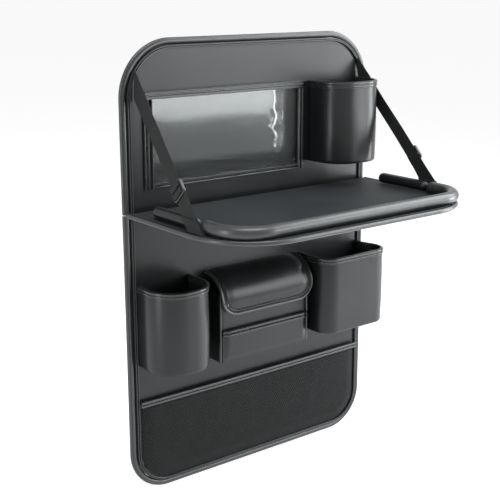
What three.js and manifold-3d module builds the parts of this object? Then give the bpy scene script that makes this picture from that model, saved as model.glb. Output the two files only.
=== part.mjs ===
// Car seat organizer: a stiffened leatherette panel that hangs on a seat back, with a
// fold-up tray on webbing straps, a clear window pocket, two cup pockets, a wide pocket,
// a box pocket with a flap and a mesh pocket. Millimetres, +Z up, the front looks toward -Y.
import * as THREE from 'three';
import { mergeVertices } from 'three/addons/utils/BufferGeometryUtils.js';
import Module from 'manifold-3d';

const wasm = await Module();
wasm.setup();

// Gap between two pieces that touch, and how far a cut runs past the face it goes through
const clearance = 0.3;
const cutMargin = 1;
const recessMargin = 0.01;

// Panel, measured from its bottom edge
const panelWidth = 430;
const panelHeight = 626;
const seamHeight = 400;
const seamGap = 1;
const topCornerRadius = 77;
const bottomCornerRadius = 60;
const mountHeight = 200;
const liningThickness = 0.8;
const boardThickness = 3.2;
const skinThickness = 4.4;
const edgeRollDiameter = 9.2;
const edgeRollForward = 0.5;
const innerWeltWidth = 4.2;
const innerWeltHeight = 1.9;

// Leatherette walls of the sewn-on pockets
const wallThickness = 2.4;
const pocketBottomThickness = 2.4;
const hemHeight = 10;
const hemExtraThickness = 0.8;

// Left cup pocket, lower half
const leftCupWidth = 87;
const leftCupDepth = 71;
const leftCupHeight = 115;
const leftCupRadius = 40;
const leftCupFlare = 2;

// Wide right pocket, lower half
const rightPocketWidth = 119;
const rightPocketDepth = 66;
const rightPocketHeight = 115;
const rightPocketRadius = 24;
const rightPocketFlare = 7;
const lowerPocketDrop = 95;

// Box pocket in the middle, with a slot pocket on its front and a flap on top
const boxLeftGap = 27.6;
const boxRightGap = 9.6;
const boxHeight = 100.5;
const boxDepth = 33;
const boxCornerRadius = 6;
const boxRimDrop = 123;
const slotHeight = 48;
const slotGap = 4.4;
const slotWall = 1.6;
const slotHemHeight = 9;
const cornerPipingDiameter = 3.6;
const flapThickness = 3;
const flapOverhang = 2;
const flapHang = 56;
const flapBendRadius = 30;
const flapCornerRadius = 26;
const flapBindingDiameter = 4.4;
const flapRunningGap = 1.2;
const flapSeamRise = 24.3;

// Mesh pocket at the bottom
const meshRimHeight = 130;
const meshHemHeight = 8;
const meshPocketDepth = 5.4;
const meshThickness = 0.9;
const meshHemThickness = 2;

// Clear window pocket, upper half
const windowLeftGap = 18;
const windowCupGap = 13;
const windowRise = 31.5;
const windowHeight = 127.5;
const windowTopBand = 10.5;
const windowBottomBand = 9;
const windowLeftBand = 12;
const windowRightBand = 10;
const windowBandDepth = 7;
const windowHollowDepth = 4.8;
const windowTopBandThickness = 2;
const filmThickness = 0.6;

// Cup pocket beside the window
const upperCupWidth = 94;
const upperCupDepth = 66;
const upperCupHeight = 117;
const upperCupRadius = 38;
const upperCupStrapGap = 0.6;
const upperCupRise = 41;

// Fold-up tray
const trayDepth = 240;
const trayCornerRadius = 92;
const trayBackGap = 5;
const trayCoverThickness = 1;
const trayBoardThickness = 2.5;
const trayPadThickness = 2.5;
const trayWeltDiameter = 6.5;
const trayLevel = 1;
const rollDiameter = 15.5;
const rollNeckWidth = 8;
const frontRollLift = 2.4;
const frontRollInset = 20;
const frontRollCornerRadius = 49;
const sideRollInset = 18.5;
const sideRollStart = 54;
const rollJoint = 150;
const rollJointGap = 1.2;
const hingeStripThickness = 1.2;
const hingeStripReach = 4;

// Tray straps and their slide adjusters
const strapWidth = 25;
const strapThickness = 1.6;
const strapTopRise = 168;
const strapFootOut = 152;
const strapTopInset = 6;
const strapFootInset = 8.5;
const strapSplit = 0.52;
const adjusterFromFoot = 62;
const adjusterWidth = 33;
const adjusterLength = 24;
const adjusterThickness = 6;
const adjusterBar = 6;
const adjusterRecess = 1.2;

// Strap behind the panel that goes round the headrest posts
const headrestStrapSpan = 240;
const headrestStrapBow = 14;
const headrestStrapDrop = 42;
const sewnEndLength = 24;
const sliderWidth = 34;
const sliderLength = 16;
const sliderThickness = 6;

// Curve fineness: steps in each eighth of a turn, and in other bends
const cornerSegments = 6;
const rollSides = 6;
const weltSides = 4;
const flapEdgeSteps = 72;
const bowSteps = 32;

// Places worked out from the sizes above
const halfWidth = panelWidth / 2;
const boardBack = -(liningThickness + clearance);
const skinBack = boardBack - boardThickness - clearance;
const panelFront = skinBack - skinThickness;
const layerInset = edgeRollDiameter + clearance;
const innerInset = layerInset + innerWeltWidth;
const innerEdge = halfWidth - innerInset - clearance;
const hemHalfExtra = hemExtraThickness / 2;
const strapHeadX = innerEdge - strapTopInset;

// The y of a point that lies a distance in front of the panel's face
function out(distance) {
  return panelFront - distance;
}

const colours = {
  leather: { color: 0x2c2c2e, roughness: 0.48, metalness: 0 },
  skin: { color: 0x3a3a3c, roughness: 0.5, metalness: 0 },
  roll: { color: 0x4a4a4c, roughness: 0.42, metalness: 0 },
  webbing: { color: 0x1d1d1f, roughness: 0.9, metalness: 0 },
  plastic: { color: 0x161617, roughness: 0.35, metalness: 0 },
  film: { color: 0xc9d0d2, roughness: 0.06, metalness: 0 },
  mesh: { color: 0x101012, roughness: 0.95, metalness: 0 },
  board: { color: 0x8a7a60, roughness: 0.9, metalness: 0 },
  lining: { color: 0x222224, roughness: 0.95, metalness: 0 },
};

const organizer = new THREE.Group();
organizer.position.z = -mountHeight;

// Adds one named piece with its own material to the organizer
function addPiece(name, geometry, finish) {
  const mesh = new THREE.Mesh(geometry, new THREE.MeshStandardMaterial(colours[finish]));
  mesh.name = name;
  organizer.add(mesh);
  return mesh;
}

// Turns a closed geometry into a solid that can be joined and cut
function toSolid(geometry) {
  const bare = geometry.index ? geometry.toNonIndexed() : geometry.clone();
  bare.deleteAttribute('normal');
  bare.deleteAttribute('uv');
  const merged = mergeVertices(bare, 1e-4);
  return new wasm.Manifold(new wasm.Mesh({
    numProp: 3,
    vertProperties: new Float32Array(merged.attributes.position.array),
    triVerts: new Uint32Array(merged.index.array),
  }));
}

// Turns a solid back into a geometry
function toGeometry(solid) {
  const mesh = solid.getMesh();
  const geometry = new THREE.BufferGeometry();
  geometry.setAttribute('position', new THREE.BufferAttribute(mesh.vertProperties, 3));
  geometry.setIndex(new THREE.BufferAttribute(mesh.triVerts, 1));
  geometry.computeVertexNormals();
  return geometry;
}

// A prism whose outline lies in the XZ plane, from one y forward to another
function frontPrism(points, yBack, yFront) {
  const shape = new THREE.Shape(points);
  const geometry = new THREE.ExtrudeGeometry(shape, { depth: yBack - yFront, bevelEnabled: false });
  geometry.rotateX(Math.PI / 2);
  geometry.translate(0, yBack, 0);
  return geometry;
}

// A prism whose outline lies in the XY plane, standing from one z to another
function uprightPrism(points, zBottom, zTop) {
  const shape = new THREE.Shape(points);
  const geometry = new THREE.ExtrudeGeometry(shape, { depth: zTop - zBottom, bevelEnabled: false });
  geometry.translate(0, 0, zBottom);
  return geometry;
}

// A prism whose outline lies in the YZ plane, from one x to another
function sidePrism(points, xLeft, xRight) {
  const shape = new THREE.Shape(points);
  const geometry = new THREE.ExtrudeGeometry(shape, { depth: xRight - xLeft, bevelEnabled: false });
  const turn = new THREE.Matrix4().makeBasis(
    new THREE.Vector3(0, 1, 0),
    new THREE.Vector3(0, 0, 1),
    new THREE.Vector3(1, 0, 0),
  );
  geometry.applyMatrix4(turn);
  geometry.translate(xLeft, 0, 0);
  return geometry;
}

// Corner points of a rectangle
function rectangle(left, bottom, right, top) {
  return [
    new THREE.Vector2(left, bottom),
    new THREE.Vector2(right, bottom),
    new THREE.Vector2(right, top),
    new THREE.Vector2(left, top),
  ];
}

// A line through points in space, whose direction turns evenly at each point
class PointPath extends THREE.Curve {
  constructor(points) {
    super();
    this.points = points;
  }

  getPointAt(u, target = new THREE.Vector3()) {
    const last = this.points.length - 1;
    return target.copy(this.points[Math.round(u * last)]);
  }

  getTangentAt(u, target = new THREE.Vector3()) {
    const last = this.points.length - 1;
    const i = Math.round(u * last);
    const before = this.points[Math.max(i - 1, 0)];
    const here = this.points[i];
    const after = this.points[Math.min(i + 1, last)];
    const arriving = here.clone().sub(before).normalize();
    const leaving = after.clone().sub(here).normalize();
    return target.copy(arriving.add(leaving).normalize());
  }
}

// Points of a flat path, without doubled points and points where it doesn't turn
function turningPoints(path) {
  const line = path.getPoints(cornerSegments);
  const points = line.filter((p, i) => i === 0 || p.distanceTo(line[i - 1]) > 0.01);
  const kept = [points[0]];
  for (let i = 1; i < points.length - 1; i += 1) {
    const arriving = points[i].clone().sub(kept[kept.length - 1]).normalize();
    const leaving = points[i + 1].clone().sub(points[i]).normalize();
    if (Math.abs(arriving.cross(leaving)) > 1e-3) {
      kept.push(points[i]);
    }
  }
  kept.push(points[points.length - 1]);
  return kept;
}

// A round bar through points in space
function roundBar(points, diameter, sides) {
  const section = new THREE.Shape();
  section.absarc(0, 0, diameter / 2, 0, Math.PI * 2, false);
  return new THREE.ExtrudeGeometry(section, {
    steps: points.length - 1,
    curveSegments: sides,
    bevelEnabled: false,
    extrudePath: new PointPath(points),
  });
}

// Outline of the panel's upper half, from its left foot over the top to its right foot
function upperOutline(inset) {
  const centreZ = panelHeight - topCornerRadius;
  const centreX = halfWidth - topCornerRadius;
  const radius = topCornerRadius - inset;
  const path = new THREE.Path();
  path.moveTo(-halfWidth + inset, seamHeight + seamGap);
  path.lineTo(-halfWidth + inset, centreZ);
  path.absarc(-centreX, centreZ, radius, Math.PI, Math.PI / 2, true);
  path.absarc(centreX, centreZ, radius, Math.PI / 2, 0, true);
  path.lineTo(halfWidth - inset, seamHeight + seamGap);
  return path;
}

// Outline of the panel's lower half, from its left head round the bottom to its right head
function lowerOutline(inset) {
  const centreX = halfWidth - bottomCornerRadius;
  const radius = bottomCornerRadius - inset;
  const path = new THREE.Path();
  path.moveTo(-halfWidth + inset, seamHeight - seamGap);
  path.lineTo(-halfWidth + inset, bottomCornerRadius);
  path.absarc(-centreX, bottomCornerRadius, radius, Math.PI, Math.PI * 1.5, false);
  path.absarc(centreX, bottomCornerRadius, radius, Math.PI * 1.5, Math.PI * 2, false);
  path.lineTo(halfWidth - inset, seamHeight - seamGap);
  return path;
}

// Outline of the tray, from its left back end round the front to its right back end
function trayOutline(inset, backGap) {
  const centreX = halfWidth - trayCornerRadius;
  const centreY = out(trayDepth - trayCornerRadius);
  const radius = trayCornerRadius - inset;
  const path = new THREE.Path();
  path.moveTo(-halfWidth + inset, out(backGap));
  path.lineTo(-halfWidth + inset, centreY);
  path.absarc(-centreX, centreY, radius, Math.PI, Math.PI * 1.5, false);
  path.absarc(centreX, centreY, radius, Math.PI * 1.5, Math.PI * 2, false);
  path.lineTo(halfWidth - inset, out(backGap));
  return path;
}

// Points of the band between two outlines
function bandPoints(outlineAt, outerInset, innerBandInset) {
  const outer = turningPoints(outlineAt(outerInset));
  const inner = turningPoints(outlineAt(innerBandInset));
  return [...outer, ...inner.reverse()];
}

// Panel: lining, stiffening boards, padded skins, edge rolls and inner welts
const halves = [
  { name: 'upper', outline: upperOutline },
  { name: 'lower', outline: lowerOutline },
];
const rollY = panelFront / 2 - edgeRollForward;
for (const { name, outline } of halves) {
  const layer = turningPoints(outline(layerInset));
  addPiece(`${name}_back_lining`, frontPrism(layer, 0, -liningThickness), 'lining');
  addPiece(`${name}_board`, frontPrism(layer, boardBack, boardBack - boardThickness), 'board');
  addPiece(`${name}_front_skin`, frontPrism(layer, skinBack, panelFront), 'skin');

  const rollCentre = turningPoints(outline(edgeRollDiameter / 2));
  const rollLine = rollCentre.map((p) => new THREE.Vector3(p.x, rollY, p.y));
  addPiece(`${name}_binding`, roundBar(rollLine, edgeRollDiameter, rollSides), 'leather');

  const welt = bandPoints(outline, layerInset, innerInset);
  addPiece(`${name}_inner_welt`, frontPrism(welt, out(clearance), out(clearance + innerWeltHeight)), 'roll');
}

// Plan of a sewn-on pocket, from its left edge at the panel round the front to its right
// edge, with its sides spreading by the flares
function pocketPlan(left, right, depth, radius, leftFlare, rightFlare) {
  const path = new THREE.Path();
  const cornerY = out(depth - radius);
  const startY = out(depth * 0.25);
  const endY = out(depth * 0.3);
  path.moveTo(left, out(clearance));
  path.bezierCurveTo(left, startY, left - leftFlare, endY, left - leftFlare, cornerY);
  path.absarc(left - leftFlare + radius, cornerY, radius, Math.PI, Math.PI * 1.5, false);
  path.absarc(right + rightFlare - radius, cornerY, radius, Math.PI * 1.5, Math.PI * 2, false);
  path.bezierCurveTo(right + rightFlare, endY, right, startY, right, out(clearance));
  return turningPoints(path);
}

// The same open line of points, moved sideways into the pocket
function moveInward(points, distance) {
  return points.map((point, i) => {
    const before = points[Math.max(i - 1, 0)];
    const after = points[Math.min(i + 1, points.length - 1)];
    const along = after.clone().sub(before).normalize();
    const isEnd = i === 0 || i === points.length - 1;
    if (isEnd) {
      return new THREE.Vector2(point.x + Math.sign(-along.y) * distance, point.y);
    }
    return new THREE.Vector2(point.x - along.y * distance, point.y + along.x * distance);
  });
}

// A wall of even thickness that follows a pocket's plan
function pocketWall(plan, outward, thickness, zBottom, zTop) {
  const outer = moveInward(plan, -outward);
  const inner = moveInward(plan, thickness - outward);
  return uprightPrism([...outer, ...inner.reverse()], zBottom, zTop);
}

// A pocket open at the top and toward the panel, with its stitched hem
function addPocket(name, plan, zBottom, zTop) {
  const wallTop = zTop - hemHeight - clearance;
  const wall = toSolid(pocketWall(plan, 0, wallThickness, zBottom, wallTop));
  const floorPlan = moveInward(plan, wallThickness / 2);
  const floor = toSolid(uprightPrism(floorPlan, zBottom, zBottom + pocketBottomThickness));
  addPiece(name, toGeometry(wall.add(floor)), 'leather');
  const hemWall = wallThickness + hemExtraThickness;
  addPiece(`${name}_hem`, pocketWall(plan, hemHalfExtra, hemWall, zTop - hemHeight, zTop), 'leather');
}

// Cup pockets and the wide pocket
const lowerRim = seamHeight - lowerPocketDrop;
const leftCupLeft = -innerEdge + hemHalfExtra;
const leftCupRight = leftCupLeft + leftCupWidth;
const leftCupPlan = pocketPlan(leftCupLeft, leftCupRight, leftCupDepth, leftCupRadius, leftCupFlare, 0);
addPocket('left_cup', leftCupPlan, lowerRim - leftCupHeight, lowerRim);

const rightPocketRight = innerEdge - hemHalfExtra;
const rightPocketLeft = rightPocketRight - rightPocketWidth;
const rightPocketPlan = pocketPlan(
  rightPocketLeft,
  rightPocketRight,
  rightPocketDepth,
  rightPocketRadius,
  0,
  rightPocketFlare,
);
addPocket('right_pocket', rightPocketPlan, lowerRim - rightPocketHeight, lowerRim);

const upperCupRight = strapHeadX - strapThickness / 2 - hemHalfExtra - upperCupStrapGap;
const upperCupLeft = upperCupRight - upperCupWidth;
const upperCupBottom = seamHeight + upperCupRise;
const upperCupPlan = pocketPlan(upperCupLeft, upperCupRight, upperCupDepth, upperCupRadius, 0, 0);
addPocket('upper_cup', upperCupPlan, upperCupBottom, upperCupBottom + upperCupHeight);

// Box pocket
const boxLeft = leftCupRight + boxLeftGap;
const boxRight = rightPocketLeft - boxRightGap;
const boxRim = seamHeight - boxRimDrop;
const boxBottom = boxRim - boxHeight;
const boxPlan = pocketPlan(boxLeft, boxRight, boxDepth, boxCornerRadius, 0, 0);
const boxWall = toSolid(pocketWall(boxPlan, 0, wallThickness, boxBottom, boxRim));
const boxFloorPlan = moveInward(boxPlan, wallThickness / 2);
const boxFloor = toSolid(uprightPrism(boxFloorPlan, boxBottom, boxBottom + pocketBottomThickness));
addPiece('box_pocket', toGeometry(boxWall.add(boxFloor)), 'leather');

// Slot pocket on the front of the box: a flat patch held at its sides and bottom
const slotLeft = boxLeft + boxCornerRadius;
const slotRight = boxRight - boxCornerRadius;
const slotBack = boxDepth + clearance;
const slotFront = slotBack + slotGap + slotWall;
const slotTop = boxBottom + slotHeight;
const slotPatch = toSolid(frontPrism(
  rectangle(slotLeft, boxBottom, slotRight, slotTop - slotHemHeight - clearance),
  out(slotBack),
  out(slotFront),
));
const slotHollow = toSolid(frontPrism(
  rectangle(slotLeft + slotWall, boxBottom + slotWall, slotRight - slotWall, slotTop),
  out(slotBack - cutMargin),
  out(slotBack + slotGap),
));
addPiece('box_slot_pocket', toGeometry(slotPatch.subtract(slotHollow)), 'leather');
addPiece('box_slot_hem', frontPrism(
  rectangle(slotLeft, slotTop - slotHemHeight, slotRight, slotTop),
  out(slotBack + slotGap),
  out(slotFront + hemHalfExtra),
), 'leather');

// Piping down the two front corners of the box
const pipingRadius = cornerPipingDiameter / 2;
const pipingOffset = (boxCornerRadius + pipingRadius + clearance) * Math.SQRT1_2;
for (const [name, cornerX, side] of [
  ['box_left_piping', boxLeft + boxCornerRadius, -1],
  ['box_right_piping', boxRight - boxCornerRadius, 1],
]) {
  const piping = new THREE.CylinderGeometry(pipingRadius, pipingRadius, boxHeight, weltSides);
  piping.rotateX(Math.PI / 2);
  const mesh = addPiece(name, piping, 'roll');
  mesh.position.x = cornerX + side * pipingOffset;
  mesh.position.y = out(boxDepth - boxCornerRadius) - pipingOffset;
  mesh.position.z = boxBottom + boxHeight / 2;
}

// Flap over the box: it runs out from the panel, bends and hangs down in front
const flapMiddleZ = boxRim + flapSeamRise + Math.max(flapThickness, flapBindingDiameter) / 2;
const flapMiddleOut = slotFront + flapRunningGap + flapThickness / 2;
const flapBackOut = clearance;
const flapEdge = flapBindingDiameter / 2 + clearance;
const flapLeft = boxLeft - flapOverhang;
const flapRight = boxRight + flapOverhang;
const flapFlatRun = flapMiddleOut - flapBendRadius - flapBackOut;
const flapBendRun = flapBendRadius * Math.PI / 2;
const flapLength = flapFlatRun + flapBendRun + flapHang - flapBendRadius;

// Where a point of the flat flap pattern lies once the flap is bent over the box
function bentFlap(x, run, lift) {
  const bendCentreOut = flapMiddleOut - flapBendRadius;
  const bendCentreZ = flapMiddleZ - flapBendRadius;
  if (run <= flapFlatRun) {
    return new THREE.Vector3(x, out(flapBackOut + run), flapMiddleZ + lift);
  }
  const angle = Math.min((run - flapFlatRun) / flapBendRadius, Math.PI / 2);
  const hang = Math.max(run - flapFlatRun - flapBendRun, 0);
  const reach = flapBendRadius + lift;
  return new THREE.Vector3(
    x,
    out(bendCentreOut + reach * Math.sin(angle)),
    bendCentreZ + reach * Math.cos(angle) - hang,
  );
}

// Flat pattern of the flap, from its back left end round the front to its back right end
function flapPattern(inset) {
  const radius = flapCornerRadius - inset;
  const cornerRun = flapLength - flapCornerRadius;
  const path = new THREE.Path();
  path.moveTo(flapLeft + inset, 0);
  path.lineTo(flapLeft + inset, cornerRun);
  path.absarc(flapLeft + flapCornerRadius, cornerRun, radius, Math.PI, Math.PI / 2, true);
  path.absarc(flapRight - flapCornerRadius, cornerRun, radius, Math.PI / 2, 0, true);
  path.lineTo(flapRight - inset, 0);
  return path;
}

const flapProfile = [];
for (const lift of [-flapThickness / 2, flapThickness / 2]) {
  const line = [0];
  for (let i = 0; i <= cornerSegments; i += 1) {
    line.push(flapFlatRun + (flapBendRun * i) / cornerSegments);
  }
  line.push(flapLength - flapEdge);
  const points = line.map((run) => bentFlap(0, run, lift));
  flapProfile.push(...(lift > 0 ? points.reverse() : points).map((p) => new THREE.Vector2(p.y, p.z)));
}
const flapStrip = toSolid(sidePrism(flapProfile, flapLeft + flapEdge, flapRight - flapEdge));
const flapBottomZ = bentFlap(0, flapLength, 0).z;
const flapFace = new THREE.Path();
const flapFaceRadius = flapCornerRadius - flapEdge;
flapFace.moveTo(flapLeft + flapEdge, flapMiddleZ + flapThickness);
flapFace.lineTo(flapLeft + flapEdge, flapBottomZ + flapCornerRadius);
flapFace.absarc(flapLeft + flapCornerRadius, flapBottomZ + flapCornerRadius, flapFaceRadius, Math.PI, Math.PI * 1.5);
flapFace.absarc(flapRight - flapCornerRadius, flapBottomZ + flapCornerRadius, flapFaceRadius, Math.PI * 1.5, Math.PI * 2);
flapFace.lineTo(flapRight - flapEdge, flapMiddleZ + flapThickness);
const flapCutter = toSolid(frontPrism(turningPoints(flapFace), 0, out(flapMiddleOut + flapThickness)));
addPiece('flap', toGeometry(flapStrip.intersect(flapCutter)), 'leather');

const flapEdgeLine = flapPattern(0).getSpacedPoints(flapEdgeSteps).map((p) => bentFlap(p.x, p.y, 0));
addPiece('flap_binding', roundBar(flapEdgeLine, flapBindingDiameter, weltSides), 'roll');

// Mesh pocket: a shallow bag held along its sides and bottom
const meshHalf = innerEdge;
const meshInset = halfWidth - meshHalf;

// Outline of the mesh pocket at an inset from its own edge
function meshOutline(inset, top) {
  const path = new THREE.Path();
  const centreX = halfWidth - bottomCornerRadius;
  const radius = bottomCornerRadius - meshInset - inset;
  path.moveTo(-meshHalf + inset, top);
  path.lineTo(-meshHalf + inset, bottomCornerRadius);
  path.absarc(-centreX, bottomCornerRadius, radius, Math.PI, Math.PI * 1.5, false);
  path.absarc(centreX, bottomCornerRadius, radius, Math.PI * 1.5, Math.PI * 2, false);
  path.lineTo(meshHalf - inset, top);
  return turningPoints(path);
}

const meshBag = toSolid(frontPrism(
  meshOutline(0, meshRimHeight - clearance),
  out(clearance),
  out(meshPocketDepth + meshThickness),
));
const meshHollow = toSolid(frontPrism(
  meshOutline(meshThickness * 2, meshRimHeight + cutMargin),
  out(-cutMargin),
  out(meshPocketDepth),
));
addPiece('mesh_pocket', toGeometry(meshBag.subtract(meshHollow)), 'mesh');
addPiece('mesh_hem', frontPrism(
  rectangle(-meshHalf, meshRimHeight, meshHalf, meshRimHeight + meshHemHeight),
  out(meshPocketDepth - clearance),
  out(meshPocketDepth - clearance + meshHemThickness),
), 'leather');

// Window pocket: bands sewn down at the sides and bottom, a free band at the top and a film
const windowLeft = -innerEdge + windowLeftGap;
const windowRight = upperCupLeft - windowCupGap;
const windowBottom = seamHeight + windowRise;
const windowTop = windowBottom + windowHeight;
const filmLeft = windowLeft + windowLeftBand + clearance;
const filmRight = windowRight - windowRightBand - clearance;
const filmBottom = windowBottom + windowBottomBand + clearance;
const filmTop = windowTop - windowTopBand - clearance;
const bandFront = out(windowBandDepth);
addPiece('window_left_band', frontPrism(
  rectangle(windowLeft, windowBottom, windowLeft + windowLeftBand, windowTop),
  out(clearance),
  bandFront,
), 'leather');
addPiece('window_right_band', frontPrism(
  rectangle(windowRight - windowRightBand, windowBottom, windowRight, windowTop),
  out(clearance),
  bandFront,
), 'leather');
addPiece('window_bottom_band', frontPrism(
  rectangle(filmLeft, windowBottom, filmRight, filmBottom - clearance),
  out(clearance),
  bandFront,
), 'leather');
addPiece('window_top_band', frontPrism(
  rectangle(filmLeft, filmTop + clearance, filmRight, windowTop),
  out(windowHollowDepth),
  out(windowHollowDepth + windowTopBandThickness),
), 'leather');
addPiece('window_film', frontPrism(
  rectangle(filmLeft, filmBottom, filmRight, filmTop),
  out(windowHollowDepth + clearance),
  out(windowHollowDepth + clearance + filmThickness),
), 'film');

// Tray: cover, board and pad held in an edge welt
const trayCentreZ = seamHeight + trayLevel;
const trayStack = trayCoverThickness + trayBoardThickness + trayPadThickness + clearance * 2;
const trayBottom = trayCentreZ - trayStack / 2;
const trayBoardBottom = trayBottom + trayCoverThickness + clearance;
const trayPadBottom = trayBoardBottom + trayBoardThickness + clearance;
const trayTop = trayPadBottom + trayPadThickness;
const trayLayer = turningPoints(trayOutline(trayWeltDiameter + clearance, trayBackGap));
addPiece('tray_bottom_cover', uprightPrism(trayLayer, trayBottom, trayBottom + trayCoverThickness), 'leather');
addPiece('tray_board', uprightPrism(trayLayer, trayBoardBottom, trayBoardBottom + trayBoardThickness), 'board');
addPiece('tray_top_pad', uprightPrism(trayLayer, trayPadBottom, trayTop), 'leather');
const trayWeltCentre = turningPoints(trayOutline(trayWeltDiameter / 2, trayBackGap / 2));
const trayWeltLine = trayWeltCentre.map((p) => new THREE.Vector3(p.x, p.y, trayCentreZ));
addPiece('tray_binding', roundBar(trayWeltLine, trayWeltDiameter, rollSides), 'roll');

// Strap line, from the panel's inner seam down to the tray, seen from the side
const strapHead = new THREE.Vector2(out(innerWeltHeight + clearance * 2), seamHeight + strapTopRise);
const strapFoot = new THREE.Vector2(out(strapFootOut), trayTop + clearance);
const strapAlong = strapFoot.clone().sub(strapHead).normalize();
const strapAcross = new THREE.Vector2(strapAlong.y, -strapAlong.x);
const strapRun = strapFoot.distanceTo(strapHead);
const headHalfCut = strapWidth / 2 / Math.abs(strapAlong.x);
const footHalfCut = strapWidth / 2 / Math.abs(strapAlong.y);
const strapFootX = halfWidth - strapFootInset;
const strapLean = (strapFootX - strapHeadX) / (strapHead.y - strapFoot.y);

// Padded rolls round the tray's rim
const rollSeat = trayTop + clearance;
const rollRadius = rollDiameter / 2;
const sideRollX = halfWidth - sideRollInset;
const sideRollFront = rollJoint - rollJointGap / 2;
const sideRollLength = sideRollFront - sideRollStart - rollRadius * 2;
for (const [name, side] of [['left_side_roll', -1], ['right_side_roll', 1]]) {
  const roll = addPiece(name, new THREE.CapsuleGeometry(rollRadius, sideRollLength, 4, rollSides * 2), 'roll');
  roll.position.x = side * sideRollX;
  roll.position.y = out(sideRollStart + rollRadius + sideRollLength / 2);
  roll.position.z = rollSeat + rollRadius;
}

// Centre line of the front roll, from the left side roll round to the right one
function frontRollLine() {
  const startY = out(rollJoint + rollJointGap / 2);
  const frontY = out(trayDepth - frontRollInset);
  const centreX = sideRollX - frontRollCornerRadius;
  const centreY = frontY + frontRollCornerRadius;
  const path = new THREE.Path();
  path.moveTo(-sideRollX, startY);
  path.lineTo(-sideRollX, centreY);
  path.absarc(-centreX, centreY, frontRollCornerRadius, Math.PI, Math.PI * 1.5, false);
  path.absarc(centreX, centreY, frontRollCornerRadius, Math.PI * 1.5, Math.PI * 2, false);
  path.lineTo(sideRollX, startY);
  return path;
}

const frontRollZ = rollSeat + frontRollLift + rollRadius;
const neckPoints = turningPoints(frontRollLine());
const rollPoints = neckPoints.map((p) => new THREE.Vector3(p.x, p.y, frontRollZ));
const neckOuter = moveInward(neckPoints, -rollNeckWidth / 2);
const neckInner = moveInward(neckPoints, rollNeckWidth / 2);
const frontRollBar = toSolid(roundBar(rollPoints, rollDiameter, rollSides));
const frontRollNeck = toSolid(uprightPrism([...neckOuter, ...neckInner.reverse()], rollSeat, frontRollZ));
addPiece('front_roll', toGeometry(frontRollBar.add(frontRollNeck)), 'roll');

// Flexible strip that joins the tray to the panel's seam
const stripBack = skinBack - (skinThickness - hingeStripReach);
addPiece('tray_hinge_strip', uprightPrism(
  rectangle(-halfWidth + layerInset, out(trayBackGap - clearance), halfWidth - layerInset, stripBack),
  seamHeight - hingeStripThickness / 2,
  seamHeight + hingeStripThickness / 2,
), 'leather');

// A point of the strap, at a distance along it from the panel and to one side of its middle
function strapPoint(along, across) {
  return strapHead.clone().addScaledVector(strapAlong, along).addScaledVector(strapAcross, across);
}

// Leans a piece outward the way the strap leans from the panel to the tray's edge
function leanOutward(geometry, side) {
  geometry.translate(0, 0, -strapHead.y);
  geometry.applyMatrix4(new THREE.Matrix4().makeShear(0, 0, 0, 0, -side * strapLean, 0));
  geometry.translate(side * strapHeadX, 0, strapHead.y);
  return geometry;
}

// Webbing and slide adjuster on each side
const splitRun = strapRun * strapSplit;
const upperWebbing = [
  new THREE.Vector2(strapHead.x, strapHead.y - headHalfCut),
  strapPoint(splitRun - clearance / 2, -strapWidth / 2),
  strapPoint(splitRun - clearance / 2, strapWidth / 2),
  new THREE.Vector2(strapHead.x, strapHead.y + headHalfCut),
];
const lowerWebbing = [
  strapPoint(splitRun + clearance / 2, strapWidth / 2),
  new THREE.Vector2(strapFoot.x - footHalfCut, strapFoot.y),
  new THREE.Vector2(strapFoot.x + footHalfCut, strapFoot.y),
  strapPoint(splitRun + clearance / 2, -strapWidth / 2),
];

// Slide adjuster lying along +Y, with its slot for the webbing and a recess between its bars
function adjusterGeometry() {
  const frame = toSolid(new THREE.BoxGeometry(adjusterThickness, adjusterLength, adjusterWidth));
  const slot = toSolid(new THREE.BoxGeometry(
    strapThickness + clearance * 2,
    adjusterLength * 2,
    strapWidth + clearance * 4,
  ));
  const gapLength = adjusterLength - adjusterBar * 2;
  const recessDepth = adjusterThickness / 2 - adjusterRecess;
  let adjuster = frame.subtract(slot);
  for (const side of [-1, 1]) {
    const recess = new THREE.BoxGeometry(recessDepth, gapLength, strapWidth);
    recess.translate(side * (adjusterThickness / 2 - recessDepth / 2 + recessMargin), 0, 0);
    adjuster = adjuster.subtract(toSolid(recess));
  }
  return toGeometry(adjuster);
}

for (const [name, side] of [['left', -1], ['right', 1]]) {
  const half = strapThickness / 2;
  addPiece(`${name}_strap_upper`, leanOutward(sidePrism(upperWebbing, -half, half), side), 'webbing');
  addPiece(`${name}_strap_lower`, leanOutward(sidePrism(lowerWebbing, -half, half), side), 'webbing');
  const adjuster = adjusterGeometry();
  adjuster.rotateX(Math.atan2(strapAlong.y, strapAlong.x));
  const place = strapPoint(strapRun - adjusterFromFoot, 0);
  adjuster.translate(0, place.x, place.y);
  addPiece(`${name}_adjuster`, leanOutward(adjuster, side), 'plastic');
}

// Strap behind the panel, sewn flat at both ends and bowed out between them
function bowOf(x) {
  const free = headrestStrapSpan / 2 - sewnEndLength;
  const share = Math.min(Math.abs(x) / free, 1);
  return headrestStrapBow * (Math.cos(Math.PI * share) + 1) / 2;
}

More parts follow.
